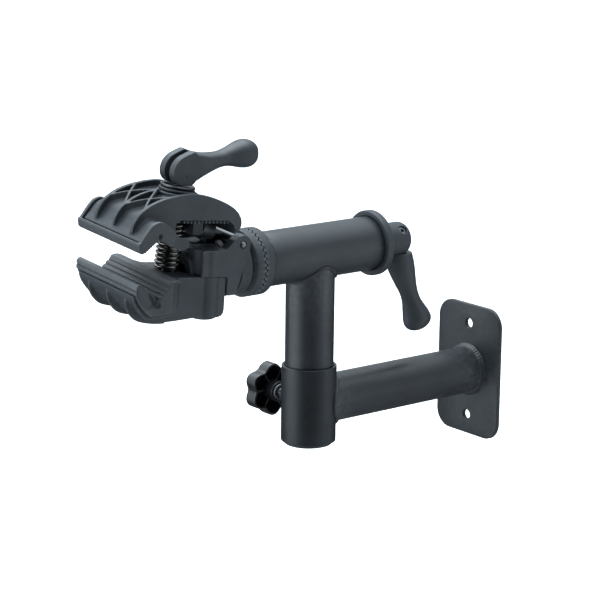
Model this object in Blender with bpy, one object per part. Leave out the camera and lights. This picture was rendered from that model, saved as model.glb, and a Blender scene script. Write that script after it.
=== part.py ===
"""Wall-mounted bike repair stand: wall bracket, swivelling post, barrel tube, toothed
swivel head and a quick-release cam clamp.

World frame: origin at the centre of the wall plate's back face, wall plane y = 0, the
stand reaches out along -Y, +Z is up. All sizes below are in millimetres.

Three local frames are used, each an empty:
  head_axis   on the barrel's axis; x across the head, y along the barrel, z up from it
  rod_axis    on the cross nut in the lower jaw; z runs up along the clamp rod
  lever_axis  on the cam lever's cross pin
"""
import math

import bmesh
import bpy
from mathutils import Matrix, Vector

MM = 0.001

# ---------------------------------------------------------------- driving dimensions (mm)
GAP = 0.3                 # clearance kept between neighbouring pieces
SEG = 32                  # facets round a large tube

PLATE_W, PLATE_H, PLATE_T, PLATE_R = 86.0, 130.0, 4.0, 18.0
PLATE_HOLE_R, PLATE_HOLE_Z = 4.5, 46.0
ARM_R, ARM_WALL = 22.5, 2.5
POST_Y = -203.0           # distance of the post's axis from the wall
SLEEVE_R, SLEEVE_BORE, SLEEVE_HALF = 25.5, 22.8, 36.0
POST_R, POST_BORE = 22.5, 20.0
BARREL_R, BARREL_BORE = 25.0, 22.5
BARREL_Z = 141.4          # height of the barrel's axis over the arm's axis
BARREL_FRONT, BARREL_REAR = -266.2, -131.0
RING_R, TEETH, TOOTH_A = 30.5, 36, 1.2
TEETH_Y = -277.0
TIE_R = 6.0
HEAD_ROLL = 5.0           # degrees about the barrel's axis, half a tooth pitch
PIN_Y, PIN_Z, PIN_R = -303.0, 26.5, 3.0       # jaw hinge pin, in the head frame
NUT_Y, NUT_Z, NUT_R = -365.6, -12.0, 8.0      # cross nut, in the head frame
ROD_LEAN, ROD_R = 5.95, 4.0
CAM_Z = 100.4             # cam pin's distance from the nut, along the rod
CAM_LOW, CAM_RISE, CAM_TURN = 7.3, 11.1, 156.0
SEAT_TOP = CAM_Z - CAM_LOW - 0.45             # top of the cam washers, along the rod
SEAT_TILT = 2.9           # the boss is a little steeper than square to the rod
PAD_HALF, PLATE_HALF = 46.5, 41.7
JAW_HALF, JAW_WALL = 28.6, 4.0
BODY_HALF = 28.5


# ---------------------------------------------------------------- scene and materials
for old in list(bpy.data.objects):
    bpy.data.objects.remove(old, do_unlink=True)


def material(name, colour, rough, metal):
    m = bpy.data.materials.new(name)
    m.use_nodes = True
    b = m.node_tree.nodes["Principled BSDF"]
    b.inputs["Base Color"].default_value = (*colour, 1.0)
    b.inputs["Roughness"].default_value = rough
    b.inputs["Metallic"].default_value = metal
    m.diffuse_color = (*colour, 1.0)
    return m


POWDER = material("powder_coat", (0.035, 0.038, 0.042), 0.55, 0.0)
WELD = material("weld_bead", (0.032, 0.035, 0.039), 0.6, 0.0)
PLASTIC = material("moulded_plastic", (0.030, 0.033, 0.037), 0.6, 0.0)
RUBBER = material("pad_rubber", (0.024, 0.026, 0.029), 0.75, 0.0)
STEEL = material("zinc_steel", (0.42, 0.42, 0.43), 0.35, 1.0)
DARKSTEEL = material("black_oxide_steel", (0.06, 0.06, 0.065), 0.4, 1.0)


# ---------------------------------------------------------------- mesh helpers
def to_object(bm, name, mat):
    bmesh.ops.remove_doubles(bm, verts=bm.verts, dist=1e-4)
    bmesh.ops.recalc_face_normals(bm, faces=bm.faces)
    me = bpy.data.meshes.new(name)
    bm.to_mesh(me)
    bm.free()
    ob = bpy.data.objects.new(name, me)
    bpy.context.scene.collection.objects.link(ob)
    if mat is not None:
        me.materials.append(mat)
    return ob


def axes(axis):
    """Row order that takes a local (across, across, along) point to x, y, z."""
    return {"X": lambda a, b, c: (c, a, b), "Y": lambda a, b, c: (b, c, a),
            "Z": lambda a, b, c: (a, b, c)}[axis]


def turned(profile, axis="Z", centre=(0, 0, 0), seg=SEG, name="tool", mat=None, phase=0.0):
    """A turned solid: profile is a list of (radius, place along the axis). Points with
    radius 0 close the ends; a profile that never reaches the axis makes a ring."""
    put = axes(axis)
    bm = bmesh.new()
    rings = []
    for r, h in profile:
        if r < 1e-6:
            rings.append([bm.verts.new(Vector(put(0, 0, h)) + Vector(centre))])
        else:
            rings.append([bm.verts.new(Vector(put(r * math.cos(t), r * math.sin(t), h)) + Vector(centre))
                          for t in (2 * math.pi * (k + phase) / seg for k in range(seg))])
    closed = all(len(r) > 1 for r in rings)
    pairs = list(zip(rings, rings[1:] + rings[:1])) if closed else list(zip(rings, rings[1:]))
    for a, b in pairs:
        for k in range(seg):
            j = (k + 1) % seg
            if len(a) == 1:
                bm.faces.new((a[0], b[k], b[j]))
            elif len(b) == 1:
                bm.faces.new((a[k], a[j], b[0]))
            else:
                bm.faces.new((a[k], a[j], b[j], b[k]))
    return to_object(bm, name, mat)


def rod(r, h0, h1, axis="Z", centre=(0, 0, 0), seg=20, name="tool", mat=None, chamfer=0.0, phase=0.0):
    if chamfer:
        pts = [(0, h0), (r - chamfer, h0), (r, h0 + chamfer), (r, h1 - chamfer), (r - chamfer, h1), (0, h1)]
    else:
        pts = [(0, h0), (r, h0), (r, h1), (0, h1)]
    return turned(pts, axis, centre, seg, name, mat, phase)


def prism(outline, x0, x1, name="tool", mat=None):
    """A side outline of (y, z) points, extruded across from x0 to x1."""
    bm = bmesh.new()
    a = [bm.verts.new((x0, y, z)) for y, z in outline]
    b = [bm.verts.new((x1, y, z)) for y, z in outline]
    bm.faces.new(a)
    bm.faces.new(list(reversed(b)))
    n = len(outline)
    for k in range(n):
        j = (k + 1) % n
        bm.faces.new((a[k], b[k], b[j], a[j]))
    return to_object(bm, name, mat)


def plan_prism(outline, z0, z1, name="tool", mat=None):
    """A plan outline of (x, y) points, extruded upwards."""
    ob = prism(outline, z0, z1, name, mat)
    for v in ob.data.vertices:
        v.co = Vector((v.co.y, v.co.z, v.co.x))
    ob.data.update()
    return ob


def block(x0, x1, y0, y1, z0, z1, name="tool", mat=None):
    return prism([(y0, z0), (y1, z0), (y1, z1), (y0, z1)], x0, x1, name, mat)


def loft(sections, name="tool", mat=None):
    """A skin through closed rings of points, with flat end caps."""
    bm = bmesh.new()
    rings = [[bm.verts.new(p) for p in s] for s in sections]
    n = len(sections[0])
    for a, b in zip(rings, rings[1:]):
        for k in range(n):
            j = (k + 1) % n
            bm.faces.new((a[k], a[j], b[j], b[k]))
    bm.faces.new(rings[0])
    bm.faces.new(list(reversed(rings[-1])))
    return to_object(bm, name, mat)


def swept_ring(path, r, sides=8, name="tool", mat=None):
    """A bead of radius r along a closed loop of points."""
    bm = bmesh.new()
    n = len(path)
    rings = []
    for k in range(n):
        p = Vector(path[k])
        t = (Vector(path[(k + 1) % n]) - Vector(path[k - 1])).normalized()
        side = t.cross(Vector((0, 0, 1)) if abs(t.z) < 0.8 else Vector((0, 1, 0))).normalized()
        centre = sum((Vector(q) for q in path), Vector()) / n
        out = (p - centre)
        out = (out - t * out.dot(t)).normalized()
        side = t.cross(out).normalized()
        rings.append([bm.verts.new(p + out * (r * math.cos(a)) + side * (r * math.sin(a)))
                      for a in (2 * math.pi * i / sides for i in range(sides))])
    for k in range(n):
        a, b = rings[k], rings[(k + 1) % n]
        for i in range(sides):
            j = (i + 1) % sides
            bm.faces.new((a[i], a[j], b[j], b[i]))
    return to_object(bm, name, mat)


def boolean(ob, tool, how):
    """Applies one exact Boolean and removes the tool."""
    m = ob.modifiers.new("cut", "BOOLEAN")
    m.operation, m.solver, m.object = how, "EXACT", tool
    bpy.context.view_layer.update()
    dg = bpy.context.evaluated_depsgraph_get()
    me = bpy.data.meshes.new_from_object(ob.evaluated_get(dg))
    ob.modifiers.clear()
    ob.data = me
    bpy.data.objects.remove(tool, do_unlink=True)
    return ob


def join(ob, *tools):
    for t in tools:
        boolean(ob, t, "UNION")
    return ob


def cut(ob, *tools):
    for t in tools:
        boolean(ob, t, "DIFFERENCE")
    return ob


def copy_of(ob, name="tool"):
    c = bpy.data.objects.new(name, ob.data.copy())
    bpy.context.scene.collection.objects.link(c)
    return c


def moved(ob, matrix):
    ob.data.transform(matrix)
    return ob


def mirrored(ob, name="tool"):
    """A copy mirrored across x = 0."""
    c = copy_of(ob, name)
    c.data.transform(Matrix.Scale(-1, 4, (1, 0, 0)))
    c.data.flip_normals()
    return c


def empty(name, place=(0, 0, 0), turn=(0, 0, 0), parent=None):
    e = bpy.data.objects.new(name, None)
    bpy.context.scene.collection.objects.link(e)
    e.parent = parent
    e.location = Vector(place) * MM
    e.rotation_euler = [math.radians(a) for a in turn]
    return e


def finish(ob, name, mat, parent=None, origin=(0, 0, 0), smooth=35):
    """Names the piece, gives it one material, moves its origin onto its axis and
    hangs it from its frame."""
    ob.name = name
    ob.data.name = name
    bm = bmesh.new()
    bm.from_mesh(ob.data)
    bmesh.ops.remove_doubles(bm, verts=bm.verts, dist=1e-3)
    bmesh.ops.dissolve_degenerate(bm, edges=bm.edges, dist=5e-4)
    bmesh.ops.dissolve_limit(bm, angle_limit=math.radians(0.4), verts=bm.verts, edges=bm.edges)
    bmesh.ops.triangulate(bm, faces=[f for f in bm.faces if len(f.verts) > 4])
    bmesh.ops.translate(bm, verts=bm.verts, vec=-Vector(origin))
    bmesh.ops.scale(bm, verts=bm.verts, vec=(MM, MM, MM))
    bm.to_mesh(ob.data)
    bm.free()
    ob.data.materials.clear()
    ob.data.materials.append(mat)
    for p in ob.data.polygons:
        p.material_index = 0
    ob.data.shade_smooth()
    ob.data.set_sharp_from_angle(angle=math.radians(smooth))
    ob.parent = parent
    ob.location = Vector(origin) * MM
    return ob


# ================================================================ wall bracket
def rounded_rect(w, h, r, n=6):
    pts = []
    for cx, cz, a0 in ((w / 2 - r, h / 2 - r, 0), (-w / 2 + r, h / 2 - r, 90),
                       (-w / 2 + r, -h / 2 + r, 180), (w / 2 - r, -h / 2 + r, 270)):
        for k in range(n + 1):
            a = math.radians(a0 + 90 * k / n)
            pts.append((cx + r * math.cos(a), cz + r * math.sin(a)))
    return pts


bm = bmesh.new()
loops = []
for inset, y in ((0.0, 0.0), (0.0, -PLATE_T + 0.5), (0.5, -PLATE_T)):
    pts = rounded_rect(PLATE_W - 2 * inset, PLATE_H - 2 * inset, PLATE_R - inset)
    loops.append([bm.verts.new((x, y, z)) for x, z in pts])
for a, b in zip(loops, loops[1:]):
    for k in range(len(a)):
        j = (k + 1) % len(a)
        bm.faces.new((a[k], a[j], b[j], b[k]))
bm.faces.new(loops[0])
bm.faces.new(list(reversed(loops[-1])))
plate = to_object(bm, "wall_plate", POWDER)
for s in (1, -1):
    cut(plate, rod(PLATE_HOLE_R, -PLATE_T - 2, 2, "Y", (0, 0, s * PLATE_HOLE_Z), 20))
finish(plate, "wall_plate", POWDER)

sleeve_cut = dict(axis="Z", centre=(0, POST_Y, 0), seg=SEG)
arm = turned([(ARM_R, -PLATE_T - GAP), (ARM_R, POST_Y + 6), (ARM_R - ARM_WALL, POST_Y + 6),
              (ARM_R - ARM_WALL, -PLATE_T - GAP)], "Y")
cut(arm, rod(SLEEVE_R + GAP, -60, 60, **sleeve_cut))
finish(arm, "wall_arm", POWDER)

weld = turned([(ARM_R + GAP, -PLATE_T - GAP), (ARM_R + 4.2, -PLATE_T - GAP), (ARM_R + 3.6, -PLATE_T - 2.0),
               (ARM_R + 1.9, -PLATE_T - 3.8), (ARM_R + GAP, -PLATE_T - 4.6)],
              "Y")
finish(weld, "arm_plate_weld", WELD, smooth=60)


def saddle(r_branch, r_main, n, out=0.0):
    """The curve where a branch tube of radius r_branch meets a main tube: (across,
    across, along) with the third the distance from the main tube's axis."""
    pts = []
    for k in range(n):
        t = 2 * math.pi * k / n
        a, b = (r_branch + out) * math.cos(t), (r_branch + out) * math.sin(t)
        pts.append((a, b, math.sqrt(max((r_main + out) ** 2 - a * a, 0.0))))
    return pts


bead = swept_ring([(a, POST_Y + c, b) for a, b, c in saddle(ARM_R, SLEEVE_R, 26, 0.6)], 2.5, 5)
cut(bead, rod(ARM_R + GAP, POST_Y, 0, "Y", seg=SEG), rod(SLEEVE_R + GAP, -60, 60, **sleeve_cut))
finish(bead, "arm_sleeve_weld", WELD, smooth=60)

sleeve = turned([(SLEEVE_R - 0.6, SLEEVE_HALF), (SLEEVE_R, SLEEVE_HALF - 0.6), (SLEEVE_R, -SLEEVE_HALF + 0.6),
                 (SLEEVE_R - 0.6, -SLEEVE_HALF), (SLEEVE_BORE, -SLEEVE_HALF), (SLEEVE_BORE, SLEEVE_HALF)], "Z",
                (0, POST_Y, 0))
cut(sleeve, rod(4.4, -40, -15, "X", (0, POST_Y, 0), 20))
finish(sleeve, "post_sleeve", POWDER)

# welded thread boss on the sleeve's -X side
boss = rod(8.2, -34.5, -20, "X", (0, POST_Y, 0), 20, chamfer=0.8)
cut(boss, rod(SLEEVE_R + GAP, -60, 60, **sleeve_cut), rod(4.4, -60, 0, "X", (0, POST_Y, 0), 20))
finish(boss, "knob_boss", POWDER)

# ================================================================ clamping knob
KNOB_BACK, KNOB_FRONT, KNOB_R = -52.0, -66.0, 24.5
knob_axis = empty("knob_axis", (0, POST_Y, 0))


def lobed(r, n=30, depth=2.3, lobes=6):
    """A six-lobed grip outline, one lobe straight up."""
    pts = []
    for k in range(n):
        t = 2 * math.pi * k / n
        c = 0.5 + 0.5 * math.cos(lobes * (t - math.pi / 2))
        pts.append((t, r - 2 * depth * (1 - c ** 0.75)))
    return pts


def lobed_ring(r, x):
    return [(x, rr * math.cos(t), rr * math.sin(t)) for t, rr in lobed(r)]


knob = loft([lobed_ring(KNOB_R - 3.0, KNOB_FRONT), lobed_ring(KNOB_R - 1.0, KNOB_FRONT + 0.7),
             lobed_ring(KNOB_R, KNOB_FRONT + 2.6), lobed_ring(KNOB_R, KNOB_BACK - 1.0),
             lobed_ring(KNOB_R - 0.8, KNOB_BACK)])
cut(knob, loft([lobed_ring(KNOB_R - 4.0, KNOB_FRONT + 3.2), lobed_ring(KNOB_R - 2.6, KNOB_FRONT + 4.4),
                lobed_ring(KNOB_R - 2.4, KNOB_BACK + 3)]))
join(knob, rod(9.6, KNOB_FRONT + 1.5, -43.0, "X", seg=20))
for k in range(6):
    web = block(KNOB_FRONT + 1.6, KNOB_BACK - 2.2, 6, KNOB_R - 4.4, -0.9, 0.9)
    moved(web, Matrix.Rotation(math.radians(60 * k), 4, "X"))
    join(knob, web)
cut(knob, rod(4.35, KNOB_FRONT + 5.7, -30, "X", seg=20), rod(7.95, -50.3, -40, "X", seg=20))
finish(knob, "star_knob", PLASTIC, knob_axis)

insert = turned([(7.6, -50.0), (7.6, -41.6), (7.1, -41.2), (6.3, -41.2), (5.9, -42.6), (4.35, -42.6), (4.35, -50.0)],
                "X", seg=20)
finish(insert, "knob_insert", STEEL, knob_axis)
stud = rod(4.0, KNOB_FRONT + 6.0, -22.9, "X", seg=16, chamfer=0.7)
finish(stud, "knob_stud", STEEL, knob_axis)

# ================================================================ swivelling post
post_axis = empty("post_axis", (0, POST_Y, 0))
barrel_rod = dict(axis="Y", centre=(0, 0, BARREL_Z), seg=SEG)
CAP_Z = -SLEEVE_HALF - 2.8
cap = turned([(0, CAP_Z), (POST_R - 2.2, CAP_Z), (POST_R - 0.7, CAP_Z + 0.5), (POST_R, CAP_Z + 1.7),
              (POST_R, CAP_Z + 2.6), (POST_BORE - GAP, CAP_Z + 2.6), (POST_BORE - GAP, CAP_Z + 12),
              (0, CAP_Z + 12)], "Z")
finish(cap, "post_end_cap", PLASTIC, post_axis)
post = turned([(POST_R, CAP_Z + 2.6 + GAP), (POST_R, BARREL_Z - 5), (POST_BORE, BARREL_Z - 5),
               (POST_BORE, CAP_Z + 2.6 + GAP)], "Z")
cut(post, rod(BARREL_R + GAP, -60, 60, **barrel_rod))
finish(post, "post_tube", POWDER, post_axis)
bead = swept_ring([(a, b, BARREL_Z - c) for a, b, c in saddle(POST_R, BARREL_R, 26, 0.5)], 2.6, 5)
cut(bead, rod(POST_R + GAP, 0, BARREL_Z, "Z", seg=SEG), rod(BARREL_R + GAP, -60, 60, **barrel_rod))
finish(bead, "post_barrel_weld", WELD, post_axis, smooth=60)

barrel_axis = empty("barrel_axis", (0, 0, BARREL_Z))
barrel = turned([(BARREL_R, BARREL_FRONT), (BARREL_R, BARREL_REAR), (BARREL_BORE, BARREL_REAR),
                 (BARREL_BORE, BARREL_FRONT)], "Y")
finish(barrel, "barrel_tube", POWDER, barrel_axis)

cap = turned([(BARREL_R + GAP, -130.7), (BARREL_R + GAP, -135.9), (RING_R - 1.4, -135.9),
              (RING_R, -134.6), (RING_R, -129.4), (RING_R - 1.6, -127.8), (TIE_R + GAP, -127.8),
              (TIE_R + GAP, -130.7)], "Y")
finish(cap, "rear_cap", PLASTIC, barrel_axis)


def toothed(y0, back, phase):
    """A ring whose front carries radial V teeth; y0 is the teeth's mean plane, back is
    a list of (radius, y) for the rest of its outline, from the rim inwards, and phase
    shifts the teeth by half a pitch when it is 1."""
    n = 2 * TEETH
    bm = bmesh.new()

    def loop(r, f):
        return [bm.verts.new((r * math.cos(t), f(k), r * math.sin(t)))
                for k, t in enumerate(2 * math.pi * i / n for i in range(n))]

    def zig(k):
        return y0 + (TOOTH_A if (k + phase) % 2 else -TOOTH_A)

    rows = [loop(RING_R, zig)] + [loop(r, lambda k, y=y: y) for r, y in back] + [loop(24.0, zig)]
    for a, b in zip(rows, rows[1:] + rows[:1]):
        for k in range(n):
            j = (k + 1) % n
            bm.faces.new((a[k], a[j], b[j], b[k]))
    return bm


bm = toothed(TEETH_Y + 0.2, [(RING_R, -267.2), (BARREL_R + 1.6, -262.6), (BARREL_R + GAP, -262.4),
                             (BARREL_R + GAP, BARREL_FRONT - GAP), (TIE_R + GAP, BARREL_FRONT - GAP),
                             (TIE_R + GAP, TEETH_Y + 2.6)], 0)
ring = to_object(bm, "rear_tooth_ring", PLASTIC)
finish(ring, "rear_tooth_ring", PLASTIC, barrel_axis, smooth=30)
head_axis = empty("head_axis", (0, 0, BARREL_Z), (0, HEAD_ROLL, 0))
bm = toothed(TEETH_Y - 0.2, [(RING_R, -284.9), (RING_R - 1.5, -286.4), (TIE_R + GAP, -286.4),
                             (TIE_R + GAP, TEETH_Y - 2.6)], 1)
ring = to_object(bm, "front_tooth_ring", PLASTIC)
finish(ring, "front_tooth_ring", PLASTIC, head_axis, smooth=30)

tie = turned([(0, -337.5), (9.0, -337.5), (9.8, -336.8), (9.8, -330.5), (TIE_R, -330.5), (TIE_R, -100.7),
              (TIE_R - 0.8, -100), (0, -100)], "Y", seg=20)
finish(tie, "tie_rod", DARKSTEEL, barrel_axis)

# ================================================================ lock handle
washer = turned([(13.0, -127.5), (13.0, -126.2), (TIE_R + GAP, -126.2), (TIE_R + GAP, -127.5)], "Y", seg=24)
finish(washer, "thrust_washer", STEEL, barrel_axis)
HUB_R = 14.2
hub = turned([(0, -125.9), (HUB_R - 0.6, -125.9), (HUB_R, -125.3), (HUB_R, -100)] +
             [(HUB_R * math.cos(a) ** 0.8, -100 + 10.4 * math.sin(a) ** 0.8)
              for a in (math.radians(d) for d in (15, 32, 50, 68))] + [(0, -89.5)], "Y", seg=28)
cut(hub, block(-20, 20, -130, -70, -20, -12.4))
nut_hole = rod(10.6, -130, -108.4, "Y", seg=6)
cut(hub, nut_hole, rod(TIE_R + GAP, -110, -98.5, "Y", seg=20))
SCREW_Y, SCREW_TURN = -101.9, 43.0     # the clamping screw stands radially in the hub
screw_lean = Matrix.Translation((0, SCREW_Y, 0)) @ Matrix.Rotation(math.radians(90 - SCREW_TURN), 4, "Y")
cut(hub, moved(rod(4.3, 9.0, 30, "Z", seg=16), screw_lean), moved(rod(2.3, 5.0, 30, "Z", seg=12), screw_lean))
finish(hub, "handle_hub", PLASTIC, barrel_axis)
nut = rod(10.2, -125.5, -108.8, "Y", seg=6)
cut(nut, rod(TIE_R + GAP, -130, -100, "Y", seg=20))
finish(nut, "handle_nut", STEEL, barrel_axis)
screw = moved(turned([(0, 6.7), (2.0, 6.7), (2.0, 9.3), (4.0, 9.3), (4.0, 12.2), (3.6, 12.6), (2.0, 12.6), (2.0, 10.6),
                      (0, 10.6)], "Z", seg=14), screw_lean)
finish(screw, "handle_screw", STEEL, barrel_axis)

GRIP = [  # height under the axis, centre along the barrel, radius along it, radius across
    (-12.7, -97.9, 11.9, 11.4), (-20, -96.0, 12.5, 11.4), (-28, -93.6, 12.2, 11.0), (-37, -90.4, 11.1, 10.0),
    (-46, -86.9, 9.5, 8.9), (-54, -83.1, 8.7, 8.5), (-60, -80.2, 9.1, 8.9), (-66, -77.0, 10.6, 10.2),
    (-72, -74.1, 12.6, 11.8), (-78, -72.1, 13.7, 12.8), (-83, -72.2, 13.1, 12.2), (-87.5, -73.6, 10.2, 9.6),
    (-90.4, -75.0, 6.0, 5.7), (-91.6, -75.4, 2.0, 1.9)]
grip = loft([[(ax * math.cos(t), yc + ay * math.sin(t), z) for t in (2 * math.pi * k / 16 for k in range(16))]
             for z, yc, ay, ax in GRIP])
finish(grip, "lock_handle", PLASTIC, barrel_axis, smooth=80)

# ================================================================ head: housing, lower jaw
def top_line(y):
    """The joint line between the lower jaw and the housing over it."""
    return 4.9 - 0.1204 * (y + 369.0)


COLUMN = (16.0, -334.0, 13.5)     # half-round screw columns: across, along, radius
SCREW_X = 18.1
EAR = [(PIN_Y + 8.6 * math.cos(math.radians(a)), PIN_Z + 8.6 * math.sin(math.radians(a)))
       for a in (130, 105, 80, 55, 30, 5, -15)]
REAR = -318.6             # back face of the lower jaw
side = [(-345.5, top_line(-345.5) + GAP), (-345.5, 25.5), (-342, 25.8), (-336.6, 25.1), (-330, 24.2), (-324.4, 23.8),
        (-320.5, 24.4), (-317.2, 26.6), (-312.6, 31.0)] + EAR + \
       [(-296.2, 16), (-299.6, 8), (-302.3, 1), (-304.6, -8), (-308.6, -17.8), (REAR + 0.7, -16.8),
        (REAR + 0.7, top_line(REAR) + GAP)]
housing = turned([(TIE_R + GAP, -286.7), (24.8, -286.7), (24.8, -288.4), (27.2, -289.2), (27.2, -300.6), (24.4, -301.2),
                  (24.4, -303.8), (27.2, -304.4), (27.2, REAR + 0.7), (TIE_R + GAP, REAR + 0.7)], "Y", seg=32)
cut(housing, block(-40, 40, -330, -305.0, -40, -17.8))
join(housing, prism(side, 19.0, BODY_HALF), prism(side, -BODY_HALF, -19.0))
core = [(-345.2, top_line(-345.2) + GAP), (-345.2, 25.2), (-339.5, 25.2), (-338.5, 15), (-303.5, 15), (-303.5, -17),
        (REAR + 0.7, -17), (REAR + 0.7, top_line(REAR) + GAP)]
join(housing, prism(core, -20.5, 20.5))
deck = [(-400, 25.6), (-342, 25.6), (-336.6, 25.0), (-330, 24.1), (-300, 24.1), (-300, 60), (-400, 60)]
for s in (1, -1):
    col = rod(COLUMN[2], -10, 40, "Z", (s * COLUMN[0], COLUMN[1], 0), 20)
    cut(col, prism(deck, -60, 60))
    cut(col, prism([(-400, top_line(-400) + GAP), (-300, top_line(-300) + GAP), (-300, -60), (-400, -60)], -60, 60))
    join(housing, col)
nose = rod(19.5, -350.2, -340, "Y", seg=24, chamfer=0.9)
cut(nose, prism([(-400, top_line(-400) + GAP), (-300, top_line(-300) + GAP), (-300, -60), (-400, -60)], -60, 60))
join(housing, nose)
cut(housing, rod(10.3, -360, -330.0, "Y", seg=20), rod(TIE_R + GAP, -340, -280, "Y", seg=20))
cut(housing, rod(PIN_R + GAP, -40, 40, "X", (0, PIN_Y, PIN_Z), 16), rod(8.4, -18.95, 18.95, "X", (0, PIN_Y, PIN_Z), 20),
    block(-5.6, 5.6, -321, -306, 20.5, 60))
for s in (1, -1):
    cut(housing, rod(3.4, -10, 16, "Z", (s * SCREW_X, COLUMN[1], 0), 12))
finish(housing, "head_housing", PLASTIC, head_axis)

body = [(REAR, top_line(REAR)), (-386.6, top_line(-386.6)), (-386.6, -14), (-390, -19.6), (-398.5, -22),
        (-398.5, -29.6), (-393, -31.0), (-384, -32.6), (-372, -33.4), (-350.8, -33.6), (REAR, -33.4)]
jaw = prism(body, -27.0, 27.0)
for s in (1, -1):
    col = turned([(0, -36.2), (COLUMN[2] - 2.2, -36.2), (COLUMN[2] - 0.6, -35.4), (COLUMN[2], -33.8), (COLUMN[2], 10),
                  (0, 10)], "Z", (s * COLUMN[0], COLUMN[1], 0), 20)
    cut(col, prism([(-400, top_line(-400)), (-300, top_line(-300)), (-300, 60), (-400, 60)], -60, 60))
    join(jaw, col)
cradle = [(-426.4, 0.2), (-425.6, -4.5), (-422.4, -10.5), (-414.0, -20.6), (-409.6, -22.6), (-398.0, -23.0),
          (-385.5, -21.5), (-385.5, -16.5), (-389.6, -17.9), (-398.1, -19.2), (-409.7, -19.1), (-412.3, -17.8),
          (-421.2, -7.6), (-424.7, 0.2)]
join(jaw, prism(cradle, -PLATE_HALF, PLATE_HALF))
wing = plan_prism([(-PLATE_HALF, -386.9), (PLATE_HALF, -386.9), (PLATE_HALF, -381.0), (38.5, -376.5), (33.0, -373.0),
                   (26.0, -370.0), (-26.0, -370.0), (-33.0, -373.0), (-38.5, -376.5), (-PLATE_HALF, -381.0)], -24, 20)
cut(wing, prism([(-390, 7.6), (-386.9, 6.6), (-384.8, 7.2), (-380.0, top_line(-380.0) - 0.05), (-360, top_line(-360) - 0.05), (-360, 60),
                 (-390, 60)], -60, 60),
    prism([(-390, -14), (-386.9, -20.5), (-380, -17), (-372, -11), (-360, -6), (-360, -60), (-390, -60)], -60, 60))
join(jaw, wing)
rib = [(-424.9, -3.0), (-424.2, -9), (-420.3, -16.4), (-412.4, -23.8), (-403.5, -27.6), (-393, -31.0), (-386, -32.3),
       (-386, -20.5), (-409, -20.8), (-414, -18.2), (-423.4, -8)]
for x in (-26.6, 1.0, 28.6):
    join(jaw, prism(rib, x - 1.5, x + 1.5))
lean = Matrix.Translation((0, NUT_Y, NUT_Z)) @ Matrix.Rotation(math.radians(-ROD_LEAN), 4, "X")
cut(jaw, moved(rod(6.4, 0, 40, "Z", seg=16), lean))
cut(jaw, rod(NUT_R + GAP, -12.4, 12.4, "X", (0, NUT_Y, NUT_Z), 24))
cut(jaw, block(-12.4, 12.4, NUT_Y - NUT_R - GAP, NUT_Y + NUT_R + GAP, -50, NUT_Z))
cut(jaw, rod(10.3, -352, -310, "Y", seg=20))
for s in (1, -1):
    cut(jaw, rod(3.4, -40, 20, "Z", (s * SCREW_X, COLUMN[1], 0), 12), rod(5.5, -40, -30.6, "Z", (s * SCREW_X, COLUMN[1], 0), 16))
finish(jaw, "lower_jaw", PLASTIC, head_axis)

lower = [(-423.0, 11.2), (-424.9, 10.4), (-426.4, 8.0), (-426.4, 2.0), (-424.9, 0.7), (-420.8, -7.4), (-412.0, -17.4),
         (-409.6, -18.7), (-398.2, -18.8), (-389.8, -17.5), (-387.3, -13.5), (-387.3, 6.2), (-388.3, 8.6), (-390.4, 9.4),
         (-392.6, 8.0), (-402.4, -2.6), (-406.8, -2.0), (-414.0, 3.2), (-420.6, 9.8)]
pad = prism(lower, -46.2, 46.2)
cut(pad, block(-50, 50, -406.0, -402.6, -8.6, 0), block(-50, 50, -407.2, -401.4, -11.2, -8.2))
finish(pad, "lower_pad", RUBBER, head_axis)

pin = rod(PIN_R, -BODY_HALF - 0.9, BODY_HALF + 0.9, "X", seg=16, chamfer=0.7)
finish(moved(pin, Matrix.Translation((0, PIN_Y, PIN_Z))), "hinge_pin", STEEL, head_axis, (0, PIN_Y, PIN_Z))
for s, label in ((1, "jaw_screw_near"), (-1, "jaw_screw_far")):
    screw = turned([(0, -33.9), (2.5, -33.9), (2.5, -35.8), (4.7, -35.8), (5.1, -35.4), (5.1, -30.9), (3.0, -30.9),
                    (3.0, 14.4), (2.4, 15), (0, 15)], "Z", (s * SCREW_X, COLUMN[1], 0), 14)
    finish(screw, label, DARKSTEEL, head_axis)

# ================================================================ clamp rod and cam lever
rod_axis = empty("rod_axis", (0, NUT_Y, NUT_Z), (-ROD_LEAN, 0, 0), head_axis)
nut = rod(NUT_R, -12.0, 12.0, "X", seg=24, chamfer=0.5)
cut(nut, rod(ROD_R + GAP, -20, 20, "Z", seg=16))
finish(nut, "rod_nut", STEEL, rod_axis)

crod = turned([(0, -10.5), (ROD_R - 0.7, -10.5), (ROD_R, -9.8), (ROD_R, CAM_Z - 22.5), (0, CAM_Z - 22.5)], "Z", seg=16)
join(crod, block(-3.0, 3.0, -3.9, 3.9, CAM_Z - 24, CAM_Z), rod(6.3, -3.0, 3.0, "X", (0, 0, CAM_Z), 20))
cut(crod, rod(2.8, -10, 10, "X", (0, 0, CAM_Z), 16))
finish(crod, "clamp_rod", STEEL, rod_axis)

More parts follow.
